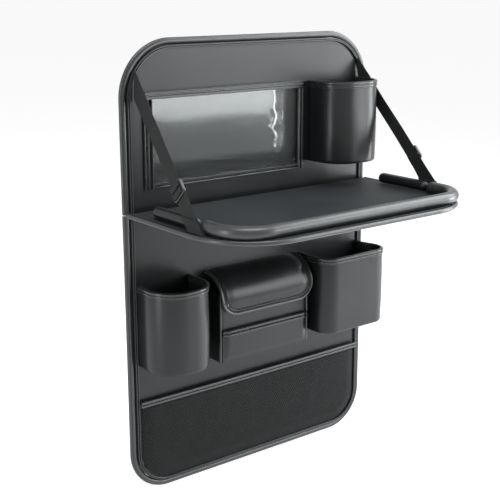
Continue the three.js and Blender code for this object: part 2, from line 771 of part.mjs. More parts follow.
const bowInner = [];
const bowOuter = [];
for (let i = 0; i <= bowSteps; i += 1) {
  const x = -headrestStrapSpan / 2 + (headrestStrapSpan * i) / bowSteps;
  bowInner.push(new THREE.Vector2(x, clearance + bowOf(x)));
  bowOuter.push(new THREE.Vector2(x, clearance + bowOf(x) + strapThickness));
}
const headrestStrapTop = panelHeight - headrestStrapDrop;
addPiece('headrest_strap', uprightPrism(
  [...bowInner, ...bowOuter.reverse()],
  headrestStrapTop - strapWidth,
  headrestStrapTop,
), 'webbing');
const sliderBlock = toSolid(new THREE.BoxGeometry(sliderLength, sliderThickness, sliderWidth));
const sliderSlot = toSolid(new THREE.BoxGeometry(
  sliderLength * 2,
  strapThickness + clearance * 3,
  strapWidth + clearance * 4,
));
const slider = addPiece('headrest_strap_slider', toGeometry(sliderBlock.subtract(sliderSlot)), 'plastic');
slider.position.y = clearance + headrestStrapBow + strapThickness / 2;
slider.position.z = headrestStrapTop - strapWidth / 2;

export default organizer;
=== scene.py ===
"""Studio scene of a car seat organizer.

The organizer is a stiffened leatherette panel with a fold-up tray on webbing straps, a clear
window pocket, sewn pockets, a flapped box pocket and a mesh pocket. Lengths are in metres,
+Z is up and the front looks toward -Y. Each sub-assembly is a class that takes its place from
the frame's boxes and keeps the sizes of its own sewing in its fields.
"""

import logging
import math
from dataclasses import dataclass, field
from enum import Enum
from typing import Callable, Iterable, Sequence

import bmesh
import bpy
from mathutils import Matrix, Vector, noise


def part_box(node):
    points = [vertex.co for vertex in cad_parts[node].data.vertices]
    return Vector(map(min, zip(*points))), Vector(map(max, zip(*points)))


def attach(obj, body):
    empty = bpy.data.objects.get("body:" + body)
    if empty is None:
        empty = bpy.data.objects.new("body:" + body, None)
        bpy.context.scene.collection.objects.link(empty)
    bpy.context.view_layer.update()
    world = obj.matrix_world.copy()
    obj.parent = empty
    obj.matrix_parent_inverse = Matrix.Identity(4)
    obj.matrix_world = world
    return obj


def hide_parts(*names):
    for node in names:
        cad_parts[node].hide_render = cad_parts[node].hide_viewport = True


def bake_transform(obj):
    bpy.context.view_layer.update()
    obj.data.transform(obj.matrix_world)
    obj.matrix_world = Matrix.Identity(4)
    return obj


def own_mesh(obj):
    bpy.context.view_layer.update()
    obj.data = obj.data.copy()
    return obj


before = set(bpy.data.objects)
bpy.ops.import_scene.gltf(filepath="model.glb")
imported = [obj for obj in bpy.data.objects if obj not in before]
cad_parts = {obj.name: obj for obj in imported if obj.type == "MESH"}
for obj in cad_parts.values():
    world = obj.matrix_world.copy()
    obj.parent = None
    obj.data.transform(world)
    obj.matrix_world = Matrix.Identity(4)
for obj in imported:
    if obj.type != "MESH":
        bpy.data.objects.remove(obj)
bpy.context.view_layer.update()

LOG = logging.getLogger("organizer")
MM = 0.001
QUARTER = math.pi / 2

Point = tuple[float, float]
Ridge = tuple[float, float, float]
Colour = tuple[float, float, float]
Place = Callable[[float, float, float], Vector]
Section = Callable[[float], Sequence[Point]]


class Slot(Enum):
    """Material slots of the record."""

    LEATHER = "leather"
    SKIN = "skin"
    ROLL = "roll"
    WEBBING = "webbing"
    PLASTIC = "plastic"
    FILM = "film"
    MESH = "mesh"
    BOARD = "board"
    LINING = "lining"


# Shader and geometry trees

def add_node(
    tree: bpy.types.NodeTree,
    kind: str,
    inputs: dict | None = None,
    **settings: object,
) -> bpy.types.Node:
    """Adds a node, sets its properties and fills or links its inputs.

    Args:
        tree: The node tree.
        kind: The node's type name.
        inputs: Values or output sockets by input name or number.
        **settings: Properties of the node.

    Returns:
        The new node.
    """
    node = tree.nodes.new(kind)
    for key, value in settings.items():
        setattr(node, key, value)
    for key, value in (inputs or {}).items():
        if isinstance(value, bpy.types.NodeSocket):
            tree.links.new(value, node.inputs[key])
        else:
            node.inputs[key].default_value = value
    return node


def compute(tree: bpy.types.NodeTree, operation: str, *inputs: object) -> bpy.types.NodeSocket:
    """Adds a Math node.

    Args:
        tree: The node tree.
        operation: The node's operation.
        *inputs: Values or output sockets, in the node's order.

    Returns:
        The node's result.
    """
    return add_node(tree, "ShaderNodeMath", dict(enumerate(inputs)), operation=operation).outputs[0]


def new_group(name: str, inputs: dict[str, float], outputs: Iterable[str]) -> bpy.types.NodeTree:
    """Starts a shader node group with float inputs and outputs.

    Args:
        name: The group's name.
        inputs: Default value of each input by name.
        outputs: Names of the outputs.

    Returns:
        The group, with its sockets and no nodes.
    """
    tree = bpy.data.node_groups.new(name, "ShaderNodeTree")
    for label, value in inputs.items():
        tree.interface.new_socket(label, in_out="INPUT", socket_type="NodeSocketFloat").default_value = value
    for label in outputs:
        tree.interface.new_socket(label, in_out="OUTPUT", socket_type="NodeSocketFloat")
    return tree


def grain_group() -> bpy.types.NodeTree:
    """Makes the group for embossed grain: pebbles and pores under cloudy tones.

    Returns:
        The group, which puts out Height, Tone and Gloss.
    """
    tree = new_group("embossed_grain", {"Cells": 1300.0, "Cloud": 14.0}, ("Height", "Tone", "Gloss"))
    given = add_node(tree, "NodeGroupInput").outputs
    where = add_node(tree, "ShaderNodeTexCoord").outputs["Object"]
    cells = {"Vector": where, "Scale": given["Cells"]}
    pebbles = add_node(tree, "ShaderNodeTexVoronoi", cells, feature="SMOOTH_F1").outputs["Distance"]
    pores = add_node(tree, "ShaderNodeTexNoise", cells | {"Detail": 3.0}).outputs["Fac"]
    cloud = add_node(tree, "ShaderNodeTexNoise", {"Vector": where, "Scale": given["Cloud"], "Detail": 4.0})
    span = {"Value": cloud.outputs["Fac"], "From Min": 0.32, "From Max": 0.68}
    tone = add_node(tree, "ShaderNodeMapRange", span).outputs["Result"]
    add_node(tree, "NodeGroupOutput", {
        "Height": compute(tree, "ADD", pebbles, pores),
        "Tone": tone,
        "Gloss": compute(tree, "MULTIPLY", pebbles, tone),
    })
    return tree


def weave_group() -> bpy.types.NodeTree:
    """Makes the group for the ribs and picks of a woven band, from its UV map.

    Returns:
        The group, which puts out Height and Tone. Tone is darker where the weave lies low, as painted shade
        between the yarns, and also varies with a fuzzy noise as the yarn's own uneven tone.
    """
    tree = new_group("woven_band", {"Ribs": 900.0, "Picks": 700.0}, ("Height", "Tone"))
    given = add_node(tree, "NodeGroupInput").outputs
    where = add_node(tree, "ShaderNodeUVMap").outputs["UV"]
    axes = add_node(tree, "ShaderNodeSeparateXYZ", {"Vector": where}).outputs
    across = compute(tree, "MULTIPLY", axes["X"], given["Ribs"])
    along = compute(tree, "MULTIPLY", axes["Y"], given["Picks"])
    step = compute(tree, "MULTIPLY", across, math.pi)
    pick = compute(tree, "SINE", compute(tree, "MULTIPLY_ADD", along, math.tau, step))
    rib = compute(tree, "COSINE", compute(tree, "MULTIPLY", across, math.tau))
    crossed = {"Value": compute(tree, "MULTIPLY", pick, rib), "From Min": -1.0, "From Max": 1.0}
    height = add_node(tree, "ShaderNodeMapRange", crossed).outputs["Result"]
    fuzz = add_node(tree, "ShaderNodeTexNoise", {"Vector": where, "Scale": 260.0, "Detail": 5.0})
    # Painted shade: the tone follows the weave's height, darker in its low places between the yarns, times
    # the fuzz noise of the yarn itself.
    tone = compute(tree, "MULTIPLY", fuzz.outputs["Fac"], height)
    add_node(tree, "NodeGroupOutput", {"Height": height, "Tone": tone})
    return tree


class Groups:
    """Shader node groups, each built once."""

    _made: dict[str, bpy.types.NodeTree] = {}

    @classmethod
    def get(cls, maker: Callable[[], bpy.types.NodeTree]) -> bpy.types.NodeTree:
        """Gives the group of a maker function, building it the first time.

        Args:
            maker: The function that makes the group.

        Returns:
            The group.
        """
        key = maker.__name__
        if key not in cls._made:
            cls._made[key] = maker()
        return cls._made[key]


# Finishes

def new_material(name: str) -> tuple[bpy.types.Material, bpy.types.NodeTree, bpy.types.Node]:
    """Starts a material with nodes.

    Args:
        name: The material's name.

    Returns:
        The material, its tree and its shader.
    """
    made = bpy.data.materials.new(name)
    made.use_nodes = True
    return made, made.node_tree, made.node_tree.nodes["Principled BSDF"]


def finish_surface(
    tree: bpy.types.NodeTree,
    shader: bpy.types.Node,
    gloss: bpy.types.NodeSocket,
    rough: Point,
    height: bpy.types.NodeSocket,
    relief: float,
) -> None:
    """Gives a shader its roughness and its relief.

    Args:
        tree: The material's tree.
        shader: The material's shader.
        gloss: Mask that runs through the roughness range.
        rough: Lowest and highest roughness.
        height: Height of the relief.
        relief: Depth of the relief.
    """
    span = {"Value": gloss, "To Min": rough[0], "To Max": rough[1]}
    ranged = add_node(tree, "ShaderNodeMapRange", span)
    tree.links.new(ranged.outputs["Result"], shader.inputs["Roughness"])
    bump = add_node(tree, "ShaderNodeBump", {"Height": height, "Strength": 1.0, "Distance": relief})
    tree.links.new(bump.outputs["Normal"], shader.inputs["Normal"])


@dataclass(frozen=True)
class Finish:
    """A surface finish: its two tones, its roughness range and its relief."""

    name: str
    low: Colour
    high: Colour
    rough: Point
    relief: float
    group: Callable[[], bpy.types.NodeTree] = grain_group
    values: tuple[tuple[str, float], ...] = ()
    constants: tuple[tuple[str, float], ...] = ()

    def material(self) -> bpy.types.Material:
        """Gives the finish's material, building it the first time.

        Returns:
            The material.
        """
        if self.name in bpy.data.materials:
            return bpy.data.materials[self.name]
        made, tree, shader = new_material(self.name)
        group = add_node(tree, "ShaderNodeGroup", node_tree=Groups.get(self.group))
        for label, value in self.values:
            group.inputs[label].default_value = value
        for label, value in self.constants:
            shader.inputs[label].default_value = value
        tone = add_node(tree, "ShaderNodeMix", {0: group.outputs["Tone"]}, data_type="RGBA")
        colours = [socket for socket in tone.inputs if socket.type == "RGBA"]
        for socket, colour in zip(colours, (self.low, self.high)):
            socket.default_value = (*colour, 1.0)
        mixed = next(socket for socket in tone.outputs if socket.type == "RGBA")
        tree.links.new(mixed, shader.inputs["Base Color"])
        gloss = group.outputs.get("Gloss") or group.outputs["Tone"]
        finish_surface(tree, shader, gloss, self.rough, group.outputs["Height"], self.relief)
        return made


LEATHER = Finish(
    "leatherette_black", (0.0075, 0.0081, 0.0085), (0.0105, 0.0114, 0.012), (0.28, 0.37), 0.045 * MM,
    constants=(("Specular IOR Level", 0.31),),
)
SKIN = Finish(
    "leatherette_charcoal", (0.006, 0.0066, 0.007), (0.0095, 0.0103, 0.0109), (0.32, 0.42), 0.05 * MM,
    constants=(("Specular IOR Level", 0.32),),
)
ROLL = Finish(
    "leatherette_roll", (0.016, 0.0172, 0.018), (0.023, 0.0245, 0.0255), (0.3, 0.4), 0.035 * MM,
    constants=(("Specular IOR Level", 0.54),),
)
HEM = Finish(
    "leatherette_hem", (0.011, 0.0119, 0.0125), (0.016, 0.0172, 0.018), (0.26, 0.34), 0.03 * MM,
    constants=(("Specular IOR Level", 0.55),),
)
PAD = Finish(
    "leatherette_matt", (0.017, 0.019, 0.0205), (0.023, 0.025, 0.0265), (0.55, 0.66), 0.05 * MM,
    constants=(("Specular IOR Level", 0.1),),
)
# The low tone falls in the weave's low places as painted shade between the yarns; the rest of the spread is
# the yarn's own uneven tone.
WEBBING = Finish(
    "webbing_black", (0.009, 0.009, 0.0094), (0.018, 0.018, 0.0186), (0.84, 0.95), 0.2 * MM, weave_group,
    constants=(("Specular IOR Level", 0.22), ("Sheen Weight", 0.06), ("Sheen Roughness", 0.5)),
)
MESH = Finish(
    "air_mesh_black", (0.006, 0.006, 0.0063), (0.012, 0.012, 0.0124), (0.75, 0.9), 0.1 * MM,
    values=(("Cells", 2200.0), ("Cloud", 60.0)),
    constants=(("Specular IOR Level", 0.22), ("Sheen Weight", 0.05), ("Sheen Roughness", 0.5)),
)
LINING = Finish(
    "nonwoven_lining", (0.02, 0.02, 0.021), (0.036, 0.036, 0.037), (0.85, 0.97), 0.12 * MM,
    values=(("Cells", 900.0), ("Cloud", 90.0)),
    constants=(("Specular IOR Level", 0.2),),
)
PLASTIC = Finish(
    "moulded_black", (0.012, 0.012, 0.0125), (0.017, 0.017, 0.0175), (0.24, 0.34), 0.015 * MM,
    values=(("Cells", 2600.0), ("Cloud", 40.0)),
)
BOARD = Finish(
    "fibre_board", (0.05, 0.045, 0.04), (0.08, 0.072, 0.062), (0.8, 0.95), 0.1 * MM,
    values=(("Cells", 700.0), ("Cloud", 50.0)),
)
THREAD = Finish(
    "sewing_thread", (0.02, 0.02, 0.021), (0.045, 0.045, 0.046), (0.5, 0.65), 0.05 * MM,
    values=(("Cells", 3000.0), ("Cloud", 120.0)),
    constants=(("Sheen Weight", 0.2),),
)


@dataclass(frozen=True)
class ClearFilm:
    """The glossy clear film of the window pocket."""

    name: str = "clear_film"
    index: float = 1.42
    rough: Point = (0.06, 0.08)
    relief: float = 0.006 * MM

    def material(self) -> bpy.types.Material:
        """Gives the film's material, building it the first time.

        Returns:
            The material.
        """
        if self.name in bpy.data.materials:
            return bpy.data.materials[self.name]
        made, tree, shader = new_material(self.name)
        shader.inputs["Base Color"].default_value = (0.93, 0.95, 0.95, 1.0)
        shader.inputs["Transmission Weight"].default_value = 1.0
        shader.inputs["IOR"].default_value = self.index
        where = add_node(tree, "ShaderNodeTexCoord").outputs["Object"]
        haze = add_node(tree, "ShaderNodeTexNoise", {"Vector": where, "Scale": 8.0, "Detail": 0.0})
        finish_surface(tree, shader, haze.outputs["Fac"], self.rough, haze.outputs["Fac"], self.relief)
        return made


FILM = ClearFilm()
AnyFinish = Finish | ClearFilm


# Outlines and grids of points

@dataclass(frozen=True)
class UShape:
    """A U-shaped outline: two straight sides from an open end, two round corners, a far edge."""

    half_width: float
    start: float
    far: float
    radius: float
    centre: float = 0.0

    @property
    def way(self) -> float:
        """Which way the sides run from the open end: 1 up, -1 down."""
        return 1.0 if self.far > self.start else -1.0

    def path(self, inset: float = 0.0, step: float = 4 * MM) -> list[Point]:
        """Points of the outline moved inward.

        Args:
            inset: How far the outline is moved inward.
            step: Length between the points of the outline itself.

        Returns:
            Points from the left open end round to the right one.
        """
        corner = self.far - self.way * self.radius
        arm = self.half_width - self.radius
        bend = self.radius - inset
        reach = self.half_width - inset
        sides = max(2, round(abs(corner - self.start) / step))
        turns = max(6, round(self.radius * QUARTER / step))
        across = max(2, round(2 * arm / step))
        left = [(-reach, self.start + (corner - self.start) * i / sides) for i in range(sides)]
        for i in range(turns):
            angle = QUARTER * i / turns
            left.append((-arm - bend * math.cos(angle), corner + self.way * bend * math.sin(angle)))
        top = [(-arm + 2 * arm * i / across, self.far - self.way * inset) for i in range(across + 1)]
        right = [(-s, t) for s, t in reversed(left)]
        return [(s + self.centre, t) for s, t in left + top + right]

    def half_at(self, t: float, inset: float) -> float:
        """Half the width of the outline moved inward, at a place along it.

        Args:
            t: The place along it.
            inset: How far the outline is moved inward.

        Returns:
            Half its width.
        """
        along = (self.far - t) * self.way - inset
        bend = self.radius - inset
        if along >= bend:
            return self.half_width - inset
        rise = bend - max(along, 0.0)
        return self.half_width - self.radius + math.sqrt(max(bend * bend - rise * rise, 0.0))

    def depth(self, s: float, t: float) -> float:
        """Distance of a point from the outline, the open end not counted.

        Args:
            s: The point's place across.
            t: Its place along.

        Returns:
            The distance, positive inside.
        """
        x = abs(s - self.centre)
        along = (self.far - t) * self.way
        if x > self.half_width - self.radius and along < self.radius:
            return self.radius - math.hypot(x - self.half_width + self.radius, self.radius - along)
        return min(self.half_width - x, along)

    def levels(self, inset: float, count: int) -> list[float]:
        """Distances along the outline, closer together near its far edge."""
        end = self.far - self.way * inset
        return [self.start + (end - self.start) * math.sin(QUARTER * i / count) for i in range(count + 1)]


def inward(path: Sequence[Point], way: float) -> list[Point]:
    """Unit directions that point inward along a flat path.

    Args:
        path: The points.
        way: 1 for a path whose first side runs up, -1 for down.

    Returns:
        One direction for each point.
    """
    found = []
    for i in range(len(path)):
        before = path[max(i - 1, 0)]
        after = path[min(i + 1, len(path) - 1)]
        run = (after[0] - before[0], after[1] - before[1])
        length = math.hypot(*run) or 1.0
        found.append((way * run[1] / length, -way * run[0] / length))
    return found


def sweep(path: Sequence[Point], way: float, place: Place, section: Section) -> list[list[Vector]]:
    """Carries a section along a flat path.

    Args:
        path: The path's points.
        way: 1 for a path whose first side runs up, -1 for down.
        place: Where a point of the path's surface lies, from its two places and its height.
        section: The section's points, inward and up, at a distance along the path.

    Returns:
        One row of points for each point of the path.
    """
    rows = []
    run = 0.0
    for i, ((s, t), (inward_s, inward_t)) in enumerate(zip(path, inward(path, way))):
        if i:
            run += math.dist(path[i - 1], path[i])
        rows.append([place(s + a * inward_s, t + a * inward_t, h) for a, h in section(run)])
    return rows


def path_length(path: Sequence[Point]) -> float:
    """Length of a flat path."""
    return sum(math.dist(a, b) for a, b in zip(path, path[1:]))


GROOVE_DEPTH = 0.26
GROOVE_SPREAD = 0.17


def round_section(radius: float, sides: int = 16, groove: float | None = None) -> list[Point]:
    """A round section, with a stitched groove if one is asked for.

    Args:
        radius: The section's radius.
        sides: How many points it has.
        groove: Angle of the groove from straight up, positive outward.

    Returns:
        The section's points, inward and up.
    """
    points = []
    for i in range(sides):
        angle = math.tau * i / sides
        reach = radius
        if groove is not None:
            off = (angle - groove + math.pi) % math.tau - math.pi
            reach *= 1 - GROOVE_DEPTH * math.exp(-((off / GROOVE_SPREAD) ** 2))
        points.append((-reach * math.sin(angle), reach * math.cos(angle)))
    return points


def scaled(shares: Sequence[Ridge], width: float, height: float = 1.0) -> list[Ridge]:
    """Spans of ridges from shares of a band's width.

    Args:
        shares: Start and end of each ridge as shares of the width, and its height.
        width: The band's width.
        height: What the heights are multiplied by.

    Returns:
        Start, end and height of each ridge.
    """
    return [(start * width, end * width, tall * height) for start, end, tall in shares]


def ridges(spans: Sequence[Ridge], samples: int = 6) -> list[Point]:
    """Rounded ridges side by side, as sewn bands show them.

    Args:
        spans: Start, end and height of each ridge.
        samples: Points across a ridge.

    Returns:
        Places across the ridges and their heights.
    """
    points = []
    for start, end, height in spans:
        for i in range(samples + 1):
            share = 2 * i / samples - 1
            points.append((start + (end - start) * i / samples, height * math.sqrt(max(1 - share**4, 0.0))))
    return points


def wobble(where: Vector, scale: float, size: float) -> float:
    """A small smooth unevenness at a place, the same in each run."""
    return size * noise.noise(where / scale)


def even(start: float, end: float, count: int) -> list[float]:
    """Values from start to end in equal steps."""
    return [start + (end - start) * i / count for i in range(count + 1)]


def crowded(count: int) -> list[float]:
    """Values from -1 to 1 that stand closer together near both ends."""
    return [math.sin(QUARTER * (2 * i / count - 1)) for i in range(count + 1)]


def smooth(share: float) -> float:
    """A smooth step from 0 to 1."""
    share = min(max(share, 0.0), 1.0)
    return share * share * (3 - 2 * share)


@dataclass
class Shell:
    """Closed skins of one piece, gathered from rows of points."""

    points: list[Vector] = field(default_factory=list)
    faces: list[tuple[int, ...]] = field(default_factory=list)
    uvs: list[list[Point]] = field(default_factory=list)

    def add(self, rows: Sequence[Sequence[Vector]], closed: bool = False) -> "Shell":
        """Adds a tube of rings.

        Args:
            rows: The rings, each with the same number of points.
            closed: Whether the last ring joins the first.

        Returns:
            The shell itself.
        """
        base = len(self.points)
        count = len(rows[0])
        around = [0.0]
        for a, b in zip(rows[0], list(rows[0][1:]) + [rows[0][0]]):
            around.append(around[-1] + (b - a).length)
        along = [0.0]
        for a, b in zip(rows, list(rows[1:]) + [rows[0]]):
            along.append(along[-1] + (b[0] - a[0]).length)
        for row in rows:
            self.points.extend(row)
        for i in range(len(rows) if closed else len(rows) - 1):
            low, high = base + i * count, base + (i + 1) % len(rows) * count
            for j in range(count):
                k = (j + 1) % count
                self.faces.append((low + j, low + k, high + k, high + j))
                self.uvs.append([
                    (around[j], along[i]),
                    (around[j + 1], along[i]),
                    (around[j + 1], along[i + 1]),
                    (around[j], along[i + 1]),
                ])
        if not closed:
            for start in (base, base + (len(rows) - 1) * count):
                self.faces.append(tuple(range(start, start + count)))
                self.uvs.append([(around[j], 0.0) for j in range(count)])
        return self

    def build(self, name: str, finish: AnyFinish, sharp: float = 38.0) -> bpy.types.Object:
        """Makes the piece's object, with its faces outward.

        Args:
            name: The piece's name.
            finish: Its finish.
            sharp: Edges bent by more degrees than this stay sharp.

        Returns:
            The object, at the origin.
        """
        mesh = bpy.data.meshes.new(name)
        mesh.from_pydata(self.points, [], self.faces)
        layer = mesh.uv_layers.new(name="UVMap")
        flat = [corner for face in self.uvs for corner in face]
        for loop, corner in zip(layer.data, flat):
            loop.uv = corner
        work = bmesh.new()
        work.from_mesh(mesh)
        bmesh.ops.remove_doubles(work, verts=work.verts, dist=0.002 * MM)
        bmesh.ops.dissolve_degenerate(work, edges=work.edges, dist=0.002 * MM)
        bmesh.ops.recalc_face_normals(work, faces=work.faces)
        work.to_mesh(mesh)
        work.free()
        mesh.polygons.foreach_set("use_smooth", [True] * len(mesh.polygons))
        mesh.set_sharp_from_angle(angle=math.radians(sharp))
        made = bpy.data.objects.new(name, mesh)
        bpy.context.scene.collection.objects.link(made)
        made.data.materials.append(finish.material())
        return made


def settle(piece: bpy.types.Object, body: str, slot: Slot, *nodes: str) -> bpy.types.Object:
    """Gives a piece its body and hides the nodes that it stands for.

    Args:
        piece: The finished piece.
        body: The body that it moves with.
        slot: The record's material slot; not used.
        *nodes: The nodes that it replaces.

    Returns:
        The piece.
    """
    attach(piece, body)
    if nodes:
        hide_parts(*nodes)
    LOG.info("%s: %d faces on %s", piece.name, len(piece.data.polygons), body)
    return piece


def slab_rows(
    shape: UShape,
    inset: float,
    place: Place,
    front: Callable[[float, float], float],
    back: Callable[[float, float], float],
    counts: tuple[int, int] = (72, 60),
) -> list[list[Vector]]:
    """Rings of a sheet or pad whose edge is a U-shaped outline.

    Args:
        shape: The outline.
        inset: How far the pad's edge lies inside it.
        place: Where a point lies, from its two places and its height.
        front: Height of the front face at a point.
        back: Height of the back face at a point.
        counts: Steps along the pad and across it.

    Returns:
        One ring for each level along the pad.
    """
    rows = []
    for t in shape.levels(inset, counts[0]):
        half = shape.half_at(t, inset)
        across = [shape.centre + half * share for share in crowded(counts[1])]
        ring = [place(s, t, front(s, t)) for s in across]
        ring += [place(s, t, back(s, t)) for s in reversed(across)]
        rows.append(ring)
    return rows


# Stitches and perforations, which repeat along paths and surfaces

def geometry_tree(name: str, inputs: dict[str, tuple[str, object]]) -> bpy.types.NodeTree:
    """Starts a geometry tree with a geometry input, named inputs and a geometry output.

    Args:
        name: The tree's name.
        inputs: Socket type and default value of each input by name.

    Returns:
        The tree.
    """
    tree = bpy.data.node_groups.new(name, "GeometryNodeTree")
    tree.interface.new_socket("Geometry", in_out="INPUT", socket_type="NodeSocketGeometry")
    for label, (kind, value) in inputs.items():
        made = tree.interface.new_socket(label, in_out="INPUT", socket_type=kind)
        if value is not None:
            made.default_value = value
    tree.interface.new_socket("Geometry", in_out="OUTPUT", socket_type="NodeSocketGeometry")
    return tree


def end_tree(
    tree: bpy.types.NodeTree,
    result: bpy.types.NodeSocket,
    material: bpy.types.NodeSocket,
    rounded: bool = False,
) -> None:
    """Ends a geometry tree by making its instances real and setting their material.

    Args:
        tree: The tree.
        result: The geometry that it made.
        material: The material.
        rounded: Whether the faces are shaded smooth.
    """
    real = add_node(tree, "GeometryNodeRealizeInstances", {"Geometry": result}).outputs["Geometry"]
    if rounded:
        real = add_node(tree, "GeometryNodeSetShadeSmooth", {"Geometry": real}).outputs["Geometry"]
    dressed = add_node(tree, "GeometryNodeSetMaterial", {"Geometry": real, "Material": material})
    add_node(tree, "NodeGroupOutput", {"Geometry": dressed.outputs["Geometry"]})


def stitch_tree() -> bpy.types.NodeTree:
    """Makes the tree that lays stitches end to end along curves.

    Returns:
        The tree, with inputs Pitch, Length, Thickness and Material.
    """
    tree = geometry_tree("stitches", {
        "Pitch": ("NodeSocketFloat", 3.4 * MM),
        "Length": ("NodeSocketFloat", 2.6 * MM),
        "Thickness": ("NodeSocketFloat", 0.7 * MM),
        "Material": ("NodeSocketMaterial", None),
    })
    given = add_node(tree, "NodeGroupInput").outputs
    line = {"Curve": given["Geometry"], "Length": given["Pitch"]}
    spaced = add_node(tree, "GeometryNodeResampleCurve", line, mode="LENGTH")
    tangent = add_node(tree, "GeometryNodeInputTangent").outputs["Tangent"]
    turned = add_node(tree, "FunctionNodeAlignRotationToVector", {"Vector": tangent}, axis="Z")
    ball = add_node(tree, "GeometryNodeMeshUVSphere", {"Segments": 6, "Rings": 4, "Radius": 0.5})
    thick = given["Thickness"]
    size = add_node(tree, "ShaderNodeCombineXYZ", {"X": thick, "Y": thick, "Z": given["Length"]})
    laid = add_node(tree, "GeometryNodeInstanceOnPoints", {
        "Points": spaced.outputs["Curve"],
        "Instance": ball.outputs["Mesh"],
        "Rotation": turned.outputs["Rotation"],
        "Scale": size.outputs["Vector"],
    })
    end_tree(tree, laid.outputs["Instances"], given["Material"], rounded=True)
    return tree


def perforation_tree() -> bpy.types.NodeTree:
    """Makes the tree that turns a lattice of triangles into a net of six-sided holes.

    Returns:
        The tree, with inputs Opening and Material.
    """
    tree = geometry_tree("perforations", {
        "Opening": ("NodeSocketFloat", 0.55),
        "Material": ("NodeSocketMaterial", None),
    })
    given = add_node(tree, "NodeGroupInput").outputs
    cells = add_node(tree, "GeometryNodeDualMesh", {"Mesh": given["Geometry"]})
    drawn = {"Mesh": cells.outputs[0], "Offset Scale": 0.0, "Individual": True}
    rims = add_node(tree, "GeometryNodeExtrudeMesh", drawn, mode="FACES")
    shrunk = add_node(tree, "GeometryNodeScaleElements", {
        "Geometry": rims.outputs["Mesh"],
        "Selection": rims.outputs["Top"],
        "Scale": given["Opening"],
    }, domain="FACE")
    opened = add_node(tree, "GeometryNodeDeleteGeometry", {
        "Geometry": shrunk.outputs["Geometry"],
        "Selection": rims.outputs["Top"],
    }, domain="FACE")
    end_tree(tree, opened.outputs["Geometry"], given["Material"])
    return tree


def run_tree(
    source: bpy.types.Object,
    tree: bpy.types.NodeTree,
    values: dict[str, object],
    wall: float = 0.0,
) -> bpy.types.Object:
    """Runs a geometry tree on an object and keeps the result as a plain mesh.

    Args:
        source: The object that the tree works on, which is removed afterwards.
        tree: The geometry tree.
        values: The tree's inputs by name.
        wall: Thickness given to the result, if it is an open sheet.

    Returns:
        A new object with the source's name.
    """
    modifier = source.modifiers.new("repeat", "NODES")
    modifier.node_group = tree
    sockets = {item.name: item.identifier for item in tree.interface.items_tree if item.in_out == "INPUT"}
    for label, value in values.items():
        modifier[sockets[label]] = value
    if wall:
        solid = source.modifiers.new("wall", "SOLIDIFY")
        solid.thickness = wall
        solid.offset = 0.0
    graph = bpy.context.evaluated_depsgraph_get()
    mesh = bpy.data.meshes.new_from_object(source.evaluated_get(graph), depsgraph=graph)
    name = source.name
    bpy.data.objects.remove(source)
    made = bpy.data.objects.new(name, mesh)
    bpy.context.scene.collection.objects.link(made)
    return made


@dataclass
class SeamBook:
    """Stitch lines of one body, sewn together at the end."""

    name: str
    body: str
    pitch: float = 3.4 * MM
    length: float = 2.7 * MM
    thickness: float = 0.75 * MM
    lines: list[list[Vector]] = field(default_factory=list)

    def trace(self, path: Sequence[Point], way: float, place: Place, offset: Point) -> None:
        """Adds a line that follows a path at an offset.

        Args:
            path: The path's points.
            way: 1 for a path whose first side runs up, -1 for down.
            place: Where a point of the path's surface lies.
            offset: How far inward and how high the line lies.
        """
        self.lines.append([row[0] for row in sweep(path, way, place, lambda run: [offset])])

    def sew(self) -> bpy.types.Object:
        """Turns the lines into stitches and settles them on their body.

        Returns:
            The stitches.
        """
        curve = bpy.data.curves.new(self.name, "CURVE")
        curve.dimensions = "3D"
        for line in self.lines:
            spline = curve.splines.new("POLY")
            spline.points.add(len(line) - 1)
            for point, where in zip(spline.points, line):
                point.co = (*where, 1.0)
        source = bpy.data.objects.new(self.name, curve)
        bpy.context.scene.collection.objects.link(source)
        tree = bpy.data.node_groups.get("stitches") or stitch_tree()
        made = run_tree(source, tree, {
            "Pitch": self.pitch,
            "Length": self.length,
            "Thickness": self.thickness,
            "Material": THREAD.material(),
        })
        return settle(made, self.body, Slot.LEATHER)


# Shared places

SKIN_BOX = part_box("upper_front_skin")
FACE = -SKIN_BOX[0].y
ROLL_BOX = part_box("upper_binding")
LOWER_ROLL_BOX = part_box("lower_binding")
HALF_WIDTH = ROLL_BOX[1].x
SEWN_GAP = 0.3 * MM


def on_panel(s: float, t: float, h: float) -> Vector:
    """A point in front of the panel's face."""
    return Vector((s, -FACE - h, t))


def from_back(s: float, t: float, h: float) -> Vector:
    """A point in front of the panel's flat back."""
    return Vector((s, -h, t))


def level(s: float, t: float, h: float) -> Vector:
    """A point given by its plan and its height."""
    return Vector((s, t, h))


class Half(Enum):
    """The two halves of the panel."""

    UPPER = "upper"
    LOWER = "lower"


